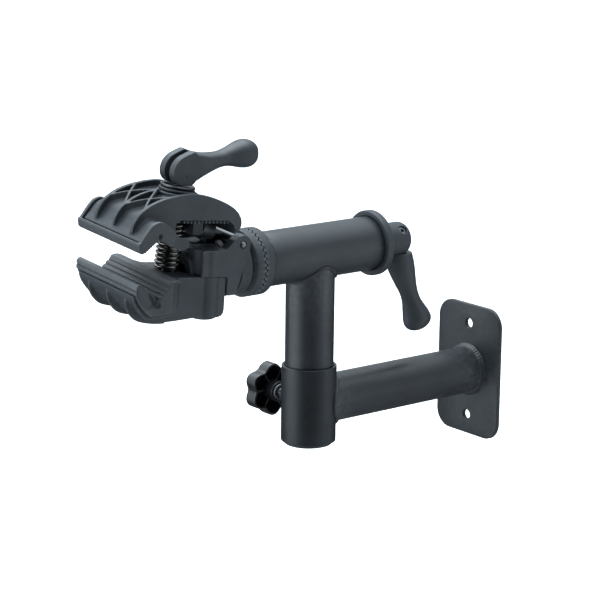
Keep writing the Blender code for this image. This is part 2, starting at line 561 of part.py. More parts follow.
# spring round the rod, from the lower jaw's seat to the boss in the upper jaw
SPRING_R, WIRE_R, COILS = 10.0, 1.5, 11.0
z0, z1 = 19.6, SEAT_TOP - 6.7 - 8.6 - WIRE_R - 0.5
bm = bmesh.new()
rings, steps = [], int(COILS * 9)
for k in range(steps + 1):
    t = k / steps
    a = 2 * math.pi * COILS * t
    ease = min(1.0, max(0.0, (t * COILS - 0.7) / (COILS - 1.4)))
    p = Vector((SPRING_R * math.cos(a), SPRING_R * math.sin(a), z0 + (z1 - z0) * (0.93 * ease + 0.07 * t)))
    out = Vector((math.cos(a), math.sin(a), 0))
    rings.append([bm.verts.new(p + out * (WIRE_R * math.cos(b)) + Vector((0, 0, WIRE_R * math.sin(b))))
                  for b in (2 * math.pi * i / 4 for i in range(4))])
for a, b in zip(rings, rings[1:]):
    for i in range(4):
        j = (i + 1) % 4
        bm.faces.new((a[i], a[j], b[j], b[i]))
bm.faces.new(rings[0])
bm.faces.new(list(reversed(rings[-1])))
finish(to_object(bm, "jaw_spring", DARKSTEEL), "jaw_spring", DARKSTEEL, rod_axis, smooth=60)

lever_axis = empty("lever_axis", (0, 0, CAM_Z), (ROD_LEAN, 0, 0), rod_axis)


def cam_outline():
    """The cam's edge: its reach from the pin grows evenly as the lever flips over."""
    k = CAM_RISE / math.radians(CAM_TURN)
    pts = []
    for d in range(0, int(CAM_TURN) + 1, 10):
        f = math.radians(d)
        h = CAM_LOW + CAM_RISE * d / CAM_TURN
        a = math.radians(-90 - ROD_LEAN) - f        # direction that faces the washers then
        n = Vector((math.cos(a), math.sin(a)))
        t = Vector((math.sin(a), -math.cos(a)))     # the way that direction moves
        pts.append(n * h + t * k)
    return pts


cam = cam_outline()
# the flat foot: straight on under the pin and towards the handle
foot = Vector((math.cos(math.radians(-90 - ROD_LEAN)), math.sin(math.radians(-90 - ROD_LEAN))))
along = Vector((-foot.y, foot.x))
outline = [tuple(foot * CAM_LOW + along * 7.5)] + [tuple(p) for p in cam]
last = cam[-1]
a = math.radians(-90 - ROD_LEAN - CAM_TURN)
n = Vector((math.cos(a), math.sin(a)))
t = Vector((math.sin(a), -math.cos(a)))
outline += [tuple(last + t * 8.5), (9.0, 21.2), (13.5, 17.0), (16.0, 12.0), (16.0, 0.2), (8.6, -6.4)]
lever = prism(outline, -11.0, 11.0)
HANDLE = [  # distance from the pin, bottom, top, half width
    (8.0, -5.4, 19.6, 10.6), (13.0, -3.8, 18.2, 10.6), (19.0, -1.2, 17.0, 10.3), (26.0, 0.6, 16.0, 9.6),
    (33.0, 2.0, 16.2, 8.8), (41.0, 3.3, 16.9, 8.4), (48.5, 3.7, 18.6, 9.0), (55.0, 2.8, 20.7, 10.4),
    (61.0, 1.2, 23.0, 11.8), (66.5, 0.4, 24.2, 12.4), (72.0, 1.4, 23.6, 11.8), (76.2, 4.2, 20.8, 9.2),
    (78.8, 8.0, 16.6, 5.0), (79.6, 11.0, 13.4, 1.6)]


def oval(y, lo, hi, half, n=16, power=2.5):
    pts = []
    for k in range(n):
        t = 2 * math.pi * k / n
        c, s = math.cos(t), math.sin(t)
        pts.append((half * math.copysign(abs(c) ** (2 / power), c), y,
                    (lo + hi) / 2 + (hi - lo) / 2 * math.copysign(abs(s) ** (2 / power), s)))
    return pts


join(lever, loft([oval(y, lo, hi, h, power=3.2 - min(1.0, y / 60)) for y, lo, hi, h in HANDLE]))
slot = prism([(-40, -30), (6.0, -30), (9.0, -5), (9.0, 8), (7.0, 40), (-40, 40)], -3.4, 3.4)
cut(lever, slot, rod(2.8, -20, 9.8, "X", seg=16))       # the pin is pressed in from the far side
finish(lever, "cam_lever", PLASTIC, lever_axis, smooth=40)
pin = rod(2.5, -10.9, 9.5, "X", seg=16, chamfer=0.4)
finish(pin, "cam_pin", STEEL, lever_axis)

# ================================================================ upper jaw
jaw_pivot = empty("jaw_pivot", (0, PIN_Y, PIN_Z), (0, 0, 0), head_axis)
ARCH = [(-421.6, 52.3), (-420.4, 57.0), (-418.1, 61.6), (-413.6, 67.6), (-406.5, 72.4), (-399.0, 75.6), (-389.5, 77.8),
        (-379.6, 78.8), (-368.0, 78.9), (-357.1, 77.8), (-344.8, 74.2), (-336.5, 70.8), (-329.3, 67.3), (-322.5, 63.6),
        (-316.5, 59.4), (-312.0, 55.2), (-308.9, 50.6), (-307.4, 47.4), (-307.0, 44.4)]


def offset(line, d):
    """The line moved inwards (to its right-hand side) by d."""
    pts = []
    for k, p in enumerate(line):
        a, b = line[max(k - 1, 0)], line[min(k + 1, len(line) - 1)]
        t = Vector((b[0] - a[0], b[1] - a[1])).normalized()
        pts.append((p[0] + t.y * d, p[1] - t.x * d))
    return pts


def arch_at(y, d=0.0):
    line = offset(ARCH, d)
    for a, b in zip(line, line[1:]):
        if a[0] <= y <= b[0]:
            return a[1] + (b[1] - a[1]) * (y - a[0]) / max(b[0] - a[0], 1e-6)
    return line[0][1] if y < line[0][0] else line[-1][1]


wall = ARCH + [(-308.2, 40.0), (-310.3, 38.6), (-312.8, 41.4), (-315.6, 46.8), (-320, 50.2), (-332, 52.2),
               (-350, 54.2), (-370, 56.2), (-375.2, 55.4), (-376.4, 52.4), (-376.0, 46.0), (-373.4, 42.0), (-366.6, 40.0),
               (-361.9, 37.4), (-360.2, 33.6), (-361.8, 31.0), (-366.0, 29.9), (-372.7, 30.6), (-380.9, 34.3),
               (-388.6, 38.8), (-388.6, 48.2), (-396.0, 54.2), (-401.5, 58.2), (-405.2, 59.5), (-409.6, 58.0),
               (-420.8, 47.4)]
jaw = prism(wall, JAW_HALF - JAW_WALL, JAW_HALF)
other = mirrored(jaw)
roof_out, roof_in = offset(ARCH[2:-1], 6.0), offset(ARCH[2:-1], 10.0)
roof = prism(roof_out + list(reversed(roof_in)), -JAW_HALF + 2, JAW_HALF - 2)
join(jaw, roof)
join(jaw, other)
holder = [(-423.9, 46.6), (-417.6, 52.8), (-413.2, 57.8), (-409.4, 60.7), (-405.2, 61.8), (-400.4, 60.2), (-394.8, 55.4),
          (-388.9, 50.0), (-388.9, 45.4), (-397.0, 52.9), (-401.6, 56.6), (-405.0, 57.6), (-407.4, 56.8), (-410.6, 54.0),
          (-414.8, 49.4), (-421.4, 42.9)]
join(jaw, prism(holder, -PLATE_HALF, PLATE_HALF))
# solid nose between the holder and the roof, and the wall behind the pad
nose_top = [q for q in offset(ARCH[2:], 7.0) if q[0] < -385.5]
join(jaw, prism([(-419.0, 49.6)] + nose_top + [(-384.4, 70.5), (-384.4, 37.5), (-388.6, 40.5), (-388.6, 48.4),
                 (-396.0, 54.4), (-401.5, 58.4), (-405.2, 59.7), (-409.6, 58.2)], -JAW_HALF + 1, JAW_HALF - 1))


def rib_slab(p, q, thick, up=0.0, down=1.5, n=10):
    """A thin web standing on the roof between plan points p and q, its crest on the arch."""
    d = Vector((q[0] - p[0], q[1] - p[1])).normalized()
    side = Vector((-d.y, d.x)) * thick / 2
    secs = []
    for k in range(n + 1):
        c = Vector(p).lerp(Vector(q), k / n)
        hi, lo = arch_at(c.y, 0.4) + up, arch_at(c.y, 6.0) - down
        secs.append([(c.x - side.x, c.y - side.y, lo), (c.x + side.x, c.y + side.y, lo),
                     (c.x + side.x, c.y + side.y, hi), (c.x - side.x, c.y - side.y, hi)])
    return loft(secs)


rib = ARCH[:7] + [(-375.5, 78.4), (-375.5, 70.0)] + \
      [(y, z - 1.5) for y, z in reversed(offset(ARCH[2:7], 6.0))] + [(-418.5, 49.4)]
join(jaw, prism(rib, -1.5, 1.5))
for s in (1, -1):
    join(jaw, rib_slab((s * 1.0, -409.5), (s * 26.8, -381.0), 2.0))
    join(jaw, rib_slab((s * 26.8, -409.0), (s * 1.0, -378.5), 2.0))
# short wall that closes the arch's rear end between the side walls
join(jaw, prism([(-307.6, 47.5), (-307.6, 44.2), (-308.8, 40.4), (-310.3, 39.2), (-311.6, 40.8), (-312.2, 44.0),
                 (-313.8, 50.0), (-319.0, 54.5), (-316.0, 57.0), (-310.5, 51.5)], -JAW_HALF + 2, JAW_HALF - 2))
# boss for the washers, square to the rod but for SEAT_TILT
seat = lean @ Matrix.Translation((0, 0, SEAT_TOP - 6.7)) @ Matrix.Rotation(math.radians(-SEAT_TILT), 4, "X")
join(jaw, moved(rod(18.0, -8.6, 0, "Z", seg=28, chamfer=0.8), seat))
# block that takes the link's threaded end
link = Matrix.Translation((0, PIN_Y, PIN_Z)) @ Matrix.Rotation(math.radians(-23.0), 4, "X")
join(jaw, block(-11, 11, -345.0, -334.5, 35.5, 66.5))
cut(jaw, moved(block(-5.2, 5.2, -9.2, 9.2, -16, 12), seat))
cut(jaw, moved(rod(4.85, 20, 60, "Y", seg=16), link @ Matrix.Rotation(math.pi, 4, "Z")))
finish(jaw, "upper_jaw", PLASTIC, jaw_pivot, (0, 0, 0))
jaw.location = (0, -PIN_Y * MM, -PIN_Z * MM)

upper = [(-420.6, 37.4), (-423.2, 37.6), (-425.6, 40.0), (-426.3, 45.2), (-425.2, 48.4), (-418.7, 54.6), (-414.3, 59.6),
         (-410.2, 62.4), (-405.2, 63.3), (-399.6, 61.4), (-393.8, 56.6), (-389.4, 52.2), (-389.4, 44.6), (-390.6, 41.8),
         (-392.8, 41.0), (-400.6, 46.6), (-408.0, 46.6)]
pad = prism(upper, -PAD_HALF, PAD_HALF)
recess = [(-424.5, 46.4), (-421.5, 42.5), (-414.6, 49.0), (-410.4, 53.6), (-407.3, 56.4), (-405.0, 57.2),
          (-401.7, 56.2), (-397.2, 52.5), (-391.6, 47.5), (-388.0, 44.2), (-388.0, 80), (-424.5, 80)]
cut(pad, prism(recess, -PLATE_HALF - GAP, PLATE_HALF + GAP))
cut(pad, block(-60, 60, -406.0, -402.8, 40, 52.6))
finish(pad, "upper_pad", RUBBER, jaw_pivot)
pad.location = (0, -PIN_Y * MM, -PIN_Z * MM)

# eye link round the hinge pin, its nut, and the two cam washers
flip = link @ Matrix.Rotation(math.pi, 4, "Z")
eye = rod(7.6, -18.7, 18.7, "X", (0, PIN_Y, PIN_Z), 24, chamfer=0.6)
join(eye, moved(rod(4.4, 0, 46.5, "Y", seg=16), flip))
cut(eye, rod(PIN_R + GAP, -40, 40, "X", (0, PIN_Y, PIN_Z), 16))
finish(eye, "jaw_link", DARKSTEEL, jaw_pivot)
eye.location = (0, -PIN_Y * MM, -PIN_Z * MM)
lnut = moved(turned([(4.7, 15.5), (6.6, 15.5), (7.2, 16.1), (7.2, 29.6), (6.6, 30.2), (4.75, 30.2)], "Y", seg=16), flip)
finish(lnut, "link_nut", STEEL, jaw_pivot)
lnut.location = (0, -PIN_Y * MM, -PIN_Z * MM)
for label, a, b, r, mat in (("seat_washer", 0.3, 3.2, 16.0, PLASTIC), ("cam_washer", 3.5, 6.4, 15.4, DARKSTEEL)):
    w = moved(turned([(5.6, a), (r - 0.8, a), (r, a + 0.8), (r, b - 0.8), (r - 0.8, b), (5.6, b)], "Z", seg=28), seat)
    finish(w, label, mat, jaw_pivot)
    w.location = (0, -PIN_Y * MM, -PIN_Z * MM)

bpy.context.view_layer.update()
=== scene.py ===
"""Looks for the wall-mounted bike repair stand: fine meshes and procedural finishes built
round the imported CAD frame. Lengths in the mesh code are millimetres in the frame's own
axes; each piece is scaled to metres when it is placed."""
import math

import bmesh
import bpy
from mathutils import Matrix, Vector, noise


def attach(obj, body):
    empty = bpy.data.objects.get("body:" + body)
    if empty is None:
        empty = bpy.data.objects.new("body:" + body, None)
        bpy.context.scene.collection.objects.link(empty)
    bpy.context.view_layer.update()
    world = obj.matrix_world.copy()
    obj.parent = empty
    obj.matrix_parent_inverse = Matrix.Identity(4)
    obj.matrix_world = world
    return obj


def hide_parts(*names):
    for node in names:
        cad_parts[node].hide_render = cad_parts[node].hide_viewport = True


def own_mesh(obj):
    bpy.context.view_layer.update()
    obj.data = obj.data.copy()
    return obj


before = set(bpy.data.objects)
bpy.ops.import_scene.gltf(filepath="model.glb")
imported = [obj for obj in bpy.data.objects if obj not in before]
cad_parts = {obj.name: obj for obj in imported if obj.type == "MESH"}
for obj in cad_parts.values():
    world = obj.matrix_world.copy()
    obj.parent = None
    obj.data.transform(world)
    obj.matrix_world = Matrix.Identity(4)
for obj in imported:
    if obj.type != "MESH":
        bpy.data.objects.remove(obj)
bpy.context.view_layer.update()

MM = 0.001
ARM_R, POST_Y, SLEEVE_R, SLEEVE_HALF = 22.5, -203.0, 25.5, 36.0
POST_R, BARREL_R, BARREL_Z = 22.5, 25.0, 141.4
RING_R, TEETH, TEETH_Y, TIE_R = 30.5, 36, -277.0, 6.0
PIN_Y, PIN_Z = -303.0, 26.5
NUT_Y, NUT_Z, ROD_LEAN, CAM_Z = -365.6, -12.0, 5.95, 100.4
CAM_LOW, CAM_RISE, CAM_TURN = 7.3, 11.1, 156.0
SEAT_TOP, SEAT_TILT = CAM_Z - CAM_LOW - 0.45, 2.9
PAD_HALF, PLATE_HALF, JAW_HALF, JAW_WALL, BODY_HALF = 46.5, 41.7, 28.6, 4.0, 28.5
COLUMN, SCREW_X, REAR = (16.0, -334.0, 13.5), 18.1, -318.6

HEAD = Matrix.Translation((0, 0, BARREL_Z)) @ Matrix.Rotation(math.radians(5.0), 4, "Y")
LEAN = Matrix.Translation((0, NUT_Y, NUT_Z)) @ Matrix.Rotation(math.radians(-ROD_LEAN), 4, "X")
ROD = HEAD @ LEAN
LEVER = ROD @ Matrix.Translation((0, 0, CAM_Z)) @ Matrix.Rotation(math.radians(ROD_LEAN), 4, "X")
BARREL = Matrix.Translation((0, 0, BARREL_Z))
SEAT = LEAN @ Matrix.Translation((0, 0, SEAT_TOP - 6.7)) @ Matrix.Rotation(math.radians(-SEAT_TILT), 4, "X")
LINK = Matrix.Translation((0, PIN_Y, PIN_Z)) @ Matrix.Rotation(math.radians(-23.0), 4, "X") @ \
    Matrix.Rotation(math.pi, 4, "Z")


# ================================================================ finishes
def grain_material(name, dark, light, rough, grain, depth, fine, metallic=0.0, clouds=30.0, edge_wear_and_highlight=0.0,
                   wear_and_highlight_colour=(0.16, 0.165, 0.17), spread=0.05, specular=0.5, sheen=0.0):
    """A finish with soft colour clouds, uneven gloss, a two-scale surface grain, and a lighter,
    smoother band along the edges that is partly rubbed wear and partly a painted highlight on rounded edges."""
    m = bpy.data.materials.new(name)
    m.use_nodes = True
    nt = m.node_tree
    new, link = nt.nodes.new, nt.links.new
    b = nt.nodes["Principled BSDF"]
    b.inputs["Metallic"].default_value = metallic
    b.inputs["Specular IOR Level"].default_value = specular
    if sheen:
        b.inputs["Sheen Weight"].default_value = sheen
        b.inputs["Sheen Roughness"].default_value = 0.5
    where = new("ShaderNodeTexCoord").outputs["Object"]

    def noise_at(scale, detail, rough_):
        n = new("ShaderNodeTexNoise")
        n.inputs["Scale"].default_value = scale
        n.inputs["Detail"].default_value = detail
        n.inputs["Roughness"].default_value = rough_
        link(where, n.inputs["Vector"])
        return n.outputs["Fac"]

    def ranged(value, a, b_, c, d):
        r = new("ShaderNodeMapRange")
        r.inputs["From Min"].default_value, r.inputs["From Max"].default_value = a, b_
        r.inputs["To Min"].default_value, r.inputs["To Max"].default_value = c, d
        link(value, r.inputs["Value"])
        return r.outputs["Result"]

    ramp = new("ShaderNodeValToRGB")
    ramp.color_ramp.elements[0].position, ramp.color_ramp.elements[0].color = 0.34, (*dark, 1)
    ramp.color_ramp.elements[1].position, ramp.color_ramp.elements[1].color = 0.66, (*light, 1)
    link(noise_at(clouds, 4.0, 0.6), ramp.inputs["Fac"])
    colour = ramp.outputs["Color"]
    rubbed_and_highlit = None
    # lighter colour along edges found by pointiness: partly rubbed wear, partly a painted highlight standing in for
    # gloss on rounded edges
    if edge_wear_and_highlight:
        edge = ranged(new("ShaderNodeNewGeometry").outputs["Pointiness"], 0.515, 0.60, 0.0, 1.0)
        patch = ranged(noise_at(clouds * 7, 3.0, 0.7), 0.38, 0.66, 0.25, 1.0)
        times = new("ShaderNodeMath")
        times.operation = "MULTIPLY"
        link(edge, times.inputs[0])
        link(patch, times.inputs[1])
        scaled = new("ShaderNodeMath")
        scaled.operation = "MULTIPLY"
        scaled.inputs[1].default_value = edge_wear_and_highlight
        scaled.use_clamp = True
        link(times.outputs[0], scaled.inputs[0])
        rubbed_and_highlit = scaled.outputs[0]
        mix = new("ShaderNodeMix")
        mix.data_type = "RGBA"
        mix.inputs[7].default_value = (*wear_and_highlight_colour, 1)
        link(rubbed_and_highlit, mix.inputs[0])
        link(colour, mix.inputs[6])
        colour = mix.outputs[2]
    link(colour, b.inputs["Base Color"])
    gloss = ranged(noise_at(clouds * 5, 3.0, 0.55), 0.3, 0.7, rough - spread, rough + spread)
    if rubbed_and_highlit is not None:
        less = new("ShaderNodeMath")
        less.operation = "MULTIPLY_ADD"
        less.inputs[1].default_value = -0.08
        link(rubbed_and_highlit, less.inputs[0])
        link(gloss, less.inputs[2])
        gloss = less.outputs[0]
    link(gloss, b.inputs["Roughness"])
    add = new("ShaderNodeMath")
    add.operation = "MULTIPLY_ADD"
    add.inputs[1].default_value = 0.45
    link(noise_at(fine, 2.0, 0.5), add.inputs[0])
    link(noise_at(grain, 3.0, 0.55), add.inputs[2])
    bump = new("ShaderNodeBump")
    bump.inputs["Strength"].default_value = 1.0
    bump.inputs["Distance"].default_value = depth
    link(add.outputs[0], bump.inputs["Height"])
    link(bump.outputs["Normal"], b.inputs["Normal"])
    return m


# the lighter edge colour each finish below takes is partly wear and partly a painted highlight
POWDER = grain_material("powder_coat", (0.0125, 0.0155, 0.0190), (0.0160, 0.0196, 0.0238), 0.36, 700.0, 0.00010,
                        2600.0, edge_wear_and_highlight=0.30)
# a darker, less glossy copy of the same powder coat for the plate, arm, sleeve and boss: painted shade standing in for
# light that falls off towards the bracket
POWDER_PAINTED_SHADE = grain_material("bracket_coat_painted_shade", (0.0088, 0.0112, 0.0138), (0.0116, 0.0145, 0.0176), 0.36, 700.0, 0.00010,
                         2600.0, edge_wear_and_highlight=0.30, specular=0.37)
WELDED = grain_material("weld_bead", (0.0122, 0.0150, 0.0185), (0.0156, 0.0190, 0.0230), 0.42, 800.0, 0.00010,
                        2600.0, edge_wear_and_highlight=0.30)
MOULDED = grain_material("moulded_plastic", (0.0188, 0.0230, 0.0280), (0.0240, 0.0291, 0.0350), 0.48, 1500.0,
                         0.00006, 4200.0, edge_wear_and_highlight=0.85, wear_and_highlight_colour=(0.135, 0.147, 0.16), specular=0.42)
KNOBBED = grain_material("knob_plastic", (0.0050, 0.0056, 0.0066), (0.0075, 0.0082, 0.0092), 0.32, 1500.0,
                         0.00003, 4200.0, edge_wear_and_highlight=0.5, wear_and_highlight_colour=(0.05, 0.052, 0.055))
RUBBER = grain_material("pad_rubber", (0.0200, 0.0245, 0.0296), (0.0255, 0.0310, 0.0370), 0.52, 1100.0, 0.00008,
                        3800.0, edge_wear_and_highlight=0.8, wear_and_highlight_colour=(0.11, 0.12, 0.13), sheen=0.05)
ZINC = grain_material("zinc_steel", (0.50, 0.50, 0.51), (0.66, 0.66, 0.67), 0.30, 600.0, 0.00003, 2500.0,
                      metallic=1.0, edge_wear_and_highlight=0.5, wear_and_highlight_colour=(0.8, 0.8, 0.8))
PINNED = grain_material("pin_steel", (0.17, 0.175, 0.18), (0.25, 0.255, 0.26), 0.30, 600.0, 0.00003, 2500.0,
                        metallic=1.0, edge_wear_and_highlight=0.4, wear_and_highlight_colour=(0.6, 0.6, 0.6))
SPRINGY = grain_material("spring_steel", (0.17, 0.16, 0.15), (0.23, 0.215, 0.20), 0.15, 700.0, 0.00002, 2500.0,
                         metallic=1.0)
OXIDE = grain_material("black_oxide_steel", (0.050, 0.053, 0.058), (0.085, 0.088, 0.094), 0.34, 700.0, 0.00004,
                       2600.0, metallic=1.0, edge_wear_and_highlight=0.6, wear_and_highlight_colour=(0.3, 0.3, 0.3))
GREY = grain_material("phosphated_steel", (0.12, 0.13, 0.14), (0.17, 0.18, 0.19), 0.46, 900.0, 0.00005, 2600.0,
                      metallic=0.8, edge_wear_and_highlight=0.4, wear_and_highlight_colour=(0.35, 0.36, 0.37))


# ================================================================ mesh helpers
def to_object(bm, name):
    bmesh.ops.remove_doubles(bm, verts=bm.verts, dist=1e-4)
    bmesh.ops.recalc_face_normals(bm, faces=bm.faces)
    me = bpy.data.meshes.new(name)
    bm.to_mesh(me)
    bm.free()
    ob = bpy.data.objects.new(name, me)
    bpy.context.scene.collection.objects.link(ob)
    return ob


def axes(axis):
    return {"X": lambda a, b, c: (c, a, b), "Y": lambda a, b, c: (b, c, a),
            "Z": lambda a, b, c: (a, b, c)}[axis]


def rounded(pts, r, n=4, closed=True):
    """The outline with its corners rounded; r is one radius or one for each corner."""
    out, count = [], len(pts)
    for k in range(count):
        p = Vector(pts[k])
        rk = r[k] if isinstance(r, (list, tuple)) else r
        if rk <= 0 or (not closed and k in (0, count - 1)):
            out.append(p)
            continue
        u, v = Vector(pts[k - 1]) - p, Vector(pts[(k + 1) % count]) - p
        lu, lv = u.length, v.length
        if lu < 1e-6 or lv < 1e-6:
            out.append(p)
            continue
        u, v = u / lu, v / lv
        angle = math.acos(max(-1.0, min(1.0, u.dot(v))))
        if angle > math.radians(177.5) or angle < math.radians(3):
            out.append(p)
            continue
        t = min(rk / math.tan(angle / 2), lu * 0.47, lv * 0.47)
        rr = t * math.tan(angle / 2)
        c = p + (u + v).normalized() * (rr / math.sin(angle / 2))
        s, e, total = p + u * t - c, p + v * t - c, math.pi - angle
        for i in range(n + 1):
            f = i / n
            out.append(c + (s * math.sin((1 - f) * total) + e * math.sin(f * total)) / math.sin(total))
    return [tuple(q) for q in out]


def curve(pts, n=5):
    """A smooth open line through the points."""
    out = []
    for k in range(len(pts) - 1):
        p0 = Vector(pts[max(k - 1, 0)])
        p1, p2 = Vector(pts[k]), Vector(pts[k + 1])
        p3 = Vector(pts[min(k + 2, len(pts) - 1)])
        for i in range(n):
            t = i / n
            out.append(tuple(0.5 * ((2 * p1) + (p2 - p0) * t + (2 * p0 - 5 * p1 + 4 * p2 - p3) * t * t +
                                    (3 * p1 - p0 - 3 * p2 + p3) * t ** 3)))
    out.append(tuple(pts[-1]))
    return out


def turned(profile, axis="Z", centre=(0, 0, 0), seg=128, name="tool"):
    put = axes(axis)
    bm = bmesh.new()
    rings = []
    for r, h in profile:
        if r < 1e-6:
            rings.append([bm.verts.new(Vector(put(0, 0, h)) + Vector(centre))])
        else:
            rings.append([bm.verts.new(Vector(put(r * math.cos(t), r * math.sin(t), h)) + Vector(centre))
                          for t in (2 * math.pi * k / seg for k in range(seg))])
    closed = all(len(r) > 1 for r in rings)
    pairs = list(zip(rings, rings[1:] + rings[:1])) if closed else list(zip(rings, rings[1:]))
    for a, b in pairs:
        for k in range(seg):
            j = (k + 1) % seg
            if len(a) == 1 and len(b) == 1:
                continue
            if len(a) == 1:
                bm.faces.new((a[0], b[k], b[j]))
            elif len(b) == 1:
                bm.faces.new((a[k], a[j], b[0]))
            else:
                bm.faces.new((a[k], a[j], b[j], b[k]))
    return to_object(bm, name)


def rod(r, h0, h1, axis="Z", centre=(0, 0, 0), seg=48, name="tool", chamfer=0.0):
    if chamfer:
        pts = rounded([(0, h0), (r, h0), (r, h1), (0, h1)], chamfer, 4, closed=False)
    else:
        pts = [(0, h0), (r, h0), (r, h1), (0, h1)]
    return turned(pts, axis, centre, seg, name)


def prism(outline, x0, x1, name="tool"):
    bm = bmesh.new()
    a = [bm.verts.new((x0, y, z)) for y, z in outline]
    b = [bm.verts.new((x1, y, z)) for y, z in outline]
    bm.faces.new(a)
    bm.faces.new(list(reversed(b)))
    n = len(outline)
    for k in range(n):
        j = (k + 1) % n
        bm.faces.new((a[k], b[k], b[j], a[j]))
    return to_object(bm, name)


def plan_prism(outline, z0, z1, name="tool"):
    ob = prism(outline, z0, z1, name)
    for v in ob.data.vertices:
        v.co = Vector((v.co.y, v.co.z, v.co.x))
    ob.data.update()
    return ob


def block(x0, x1, y0, y1, z0, z1, name="tool"):
    return prism([(y0, z0), (y1, z0), (y1, z1), (y0, z1)], x0, x1, name)


def loft(sections, name="tool"):
    bm = bmesh.new()
    rings = [[bm.verts.new(p) for p in s] for s in sections]
    n = len(sections[0])
    for a, b in zip(rings, rings[1:]):
        for k in range(n):
            j = (k + 1) % n
            bm.faces.new((a[k], a[j], b[j], b[k]))
    bm.faces.new(rings[0])
    bm.faces.new(list(reversed(rings[-1])))
    return to_object(bm, name)


def tube(path, radii, sides, closed, name="tool", flat=(0, 0, 1)):
    """A round skin along a path of points, each with its own radius."""
    bm = bmesh.new()
    n = len(path)
    rings = []
    pts = [Vector(p) for p in path]
    centre = sum(pts, Vector()) / n
    side = None
    for k, p in enumerate(pts):
        a = pts[k - 1] if closed or k else pts[0]
        b = pts[(k + 1) % n] if closed or k < n - 1 else pts[-1]
        t = (b - a).normalized()
        if closed:
            out = p - centre
            out = (out - t * out.dot(t)).normalized()
        else:
            ref = Vector(flat) if side is None else side
            out = (ref - t * ref.dot(t)).normalized()
            side = out
        across = t.cross(out).normalized()
        r = radii[k] if isinstance(radii, list) else radii
        rings.append([bm.verts.new(p + out * (r * math.cos(w)) + across * (r * math.sin(w)))
                      for w in (2 * math.pi * i / sides for i in range(sides))])
    pairs = list(zip(rings, rings[1:])) + ([(rings[-1], rings[0])] if closed else [])
    for a, b in pairs:
        for i in range(sides):
            j = (i + 1) % sides
            bm.faces.new((a[i], a[j], b[j], b[i]))
    if not closed:
        bm.faces.new(rings[0])
        bm.faces.new(list(reversed(rings[-1])))
    return to_object(bm, name)


def boolean(ob, tool, how):
    m = ob.modifiers.new("cut", "BOOLEAN")
    m.operation, m.solver, m.object = how, "EXACT", tool
    apply_all(ob)
    bpy.data.objects.remove(tool, do_unlink=True)
    return ob


def apply_all(ob):
    bpy.context.view_layer.update()
    dg = bpy.context.evaluated_depsgraph_get()
    me = bpy.data.meshes.new_from_object(ob.evaluated_get(dg))
    ob.modifiers.clear()
    ob.data = me
    return ob


def join(ob, *tools):
    for t in tools:
        boolean(ob, t, "UNION")
    return ob


def cut(ob, *tools):
    for t in tools:
        boolean(ob, t, "DIFFERENCE")
    return ob


def moved(ob, matrix):
    ob.data.transform(matrix)
    return ob


def mirrored(ob, name="tool"):
    c = bpy.data.objects.new(name, ob.data.copy())
    bpy.context.scene.collection.objects.link(c)
    c.data.transform(Matrix.Scale(-1, 4, (1, 0, 0)))
    c.data.flip_normals()
    return c


def mould(ob, voxel, soften, keep=1.0):
    """Turns the solid into one even skin with small moulded fillets."""
    m = ob.modifiers.new("even", "REMESH")
    m.mode, m.voxel_size, m.adaptivity = "VOXEL", voxel, 0.0
    s = ob.modifiers.new("soften", "SMOOTH")
    s.factor, s.iterations = 0.5, soften
    if keep < 1.0:
        d = ob.modifiers.new("thin", "DECIMATE")
        d.ratio = keep
    return apply_all(ob)


def piece(ob, name, mat, body, nodes, place=None, sharp=35.0):
    """Puts a finished mesh in the frame: metres, finish, shading, body and CAD nodes."""
    if place is not None:
        ob.data.transform(place)
    ob.data.transform(Matrix.Scale(MM, 4))
    ob.name = name
    ob.data.name = name
    ob.data.materials.clear()
    ob.data.materials.append(mat)
    for p in ob.data.polygons:
        p.material_index = 0
    ob.data.shade_smooth()
    if sharp:
        ob.data.set_sharp_from_angle(angle=math.radians(sharp))
    ob.data.update()
    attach(ob, body)
    if nodes:
        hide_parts(*nodes)
    return ob


def saddle(r_branch, r_main, n):
    pts = []
    for k in range(n):
        t = 2 * math.pi * k / n
        a, b = r_branch * math.cos(t), r_branch * math.sin(t)
        pts.append((a, b, math.sqrt(max(r_main ** 2 - a * a, 0.0))))
    return pts


def weld_radii(n, r, ripples, seed):
    """The stacked ripples of a hand-run bead."""
    out = []
    for k in range(n):
        f = ripples * k / n
        wave = abs(math.sin(math.pi * f)) ** 0.7
        drift = noise.noise(Vector((math.cos(2 * math.pi * k / n) * 2.2, math.sin(2 * math.pi * k / n) * 2.2, seed)))
        out.append(r * (0.93 + 0.085 * wave + 0.10 * drift))
    return out


def threaded(r, z0, z1, pitch, depth, seg=48, per=8, lead=1.2):
    """A screw thread on the Z axis with chamfered ends."""
    bm = bmesh.new()
    rows = max(2, int((z1 - z0) / pitch * per))
    rings = []
    for i in range(rows + 1):
        z = z0 + (z1 - z0) * i / rows
        edge = min((z - z0) / lead, (z1 - z) / lead, 1.0)
        ring = []
        for k in range(seg):
            t = 2 * math.pi * k / seg
            f = (z / pitch - k / seg) % 1.0
            cut_in = depth * (1 - abs(2 * f - 1)) ** 0.8
            rr = r - cut_in - (1 - edge) * r * 0.16
            ring.append(bm.verts.new((rr * math.cos(t), rr * math.sin(t), z)))
        rings.append(ring)
    for a, b in zip(rings, rings[1:]):
        for k in range(seg):
            j = (k + 1) % seg
            bm.faces.new((a[k], a[j], b[j], b[k]))
    bm.faces.new(rings[0])
    bm.faces.new(list(reversed(rings[-1])))
    return to_object(bm, "tool")


def hex_socket(r, z0, z1):
    return turned([(0, z0), (r, z0), (r, z1), (0, z1)], "Z", (0, 0, 0), 6)


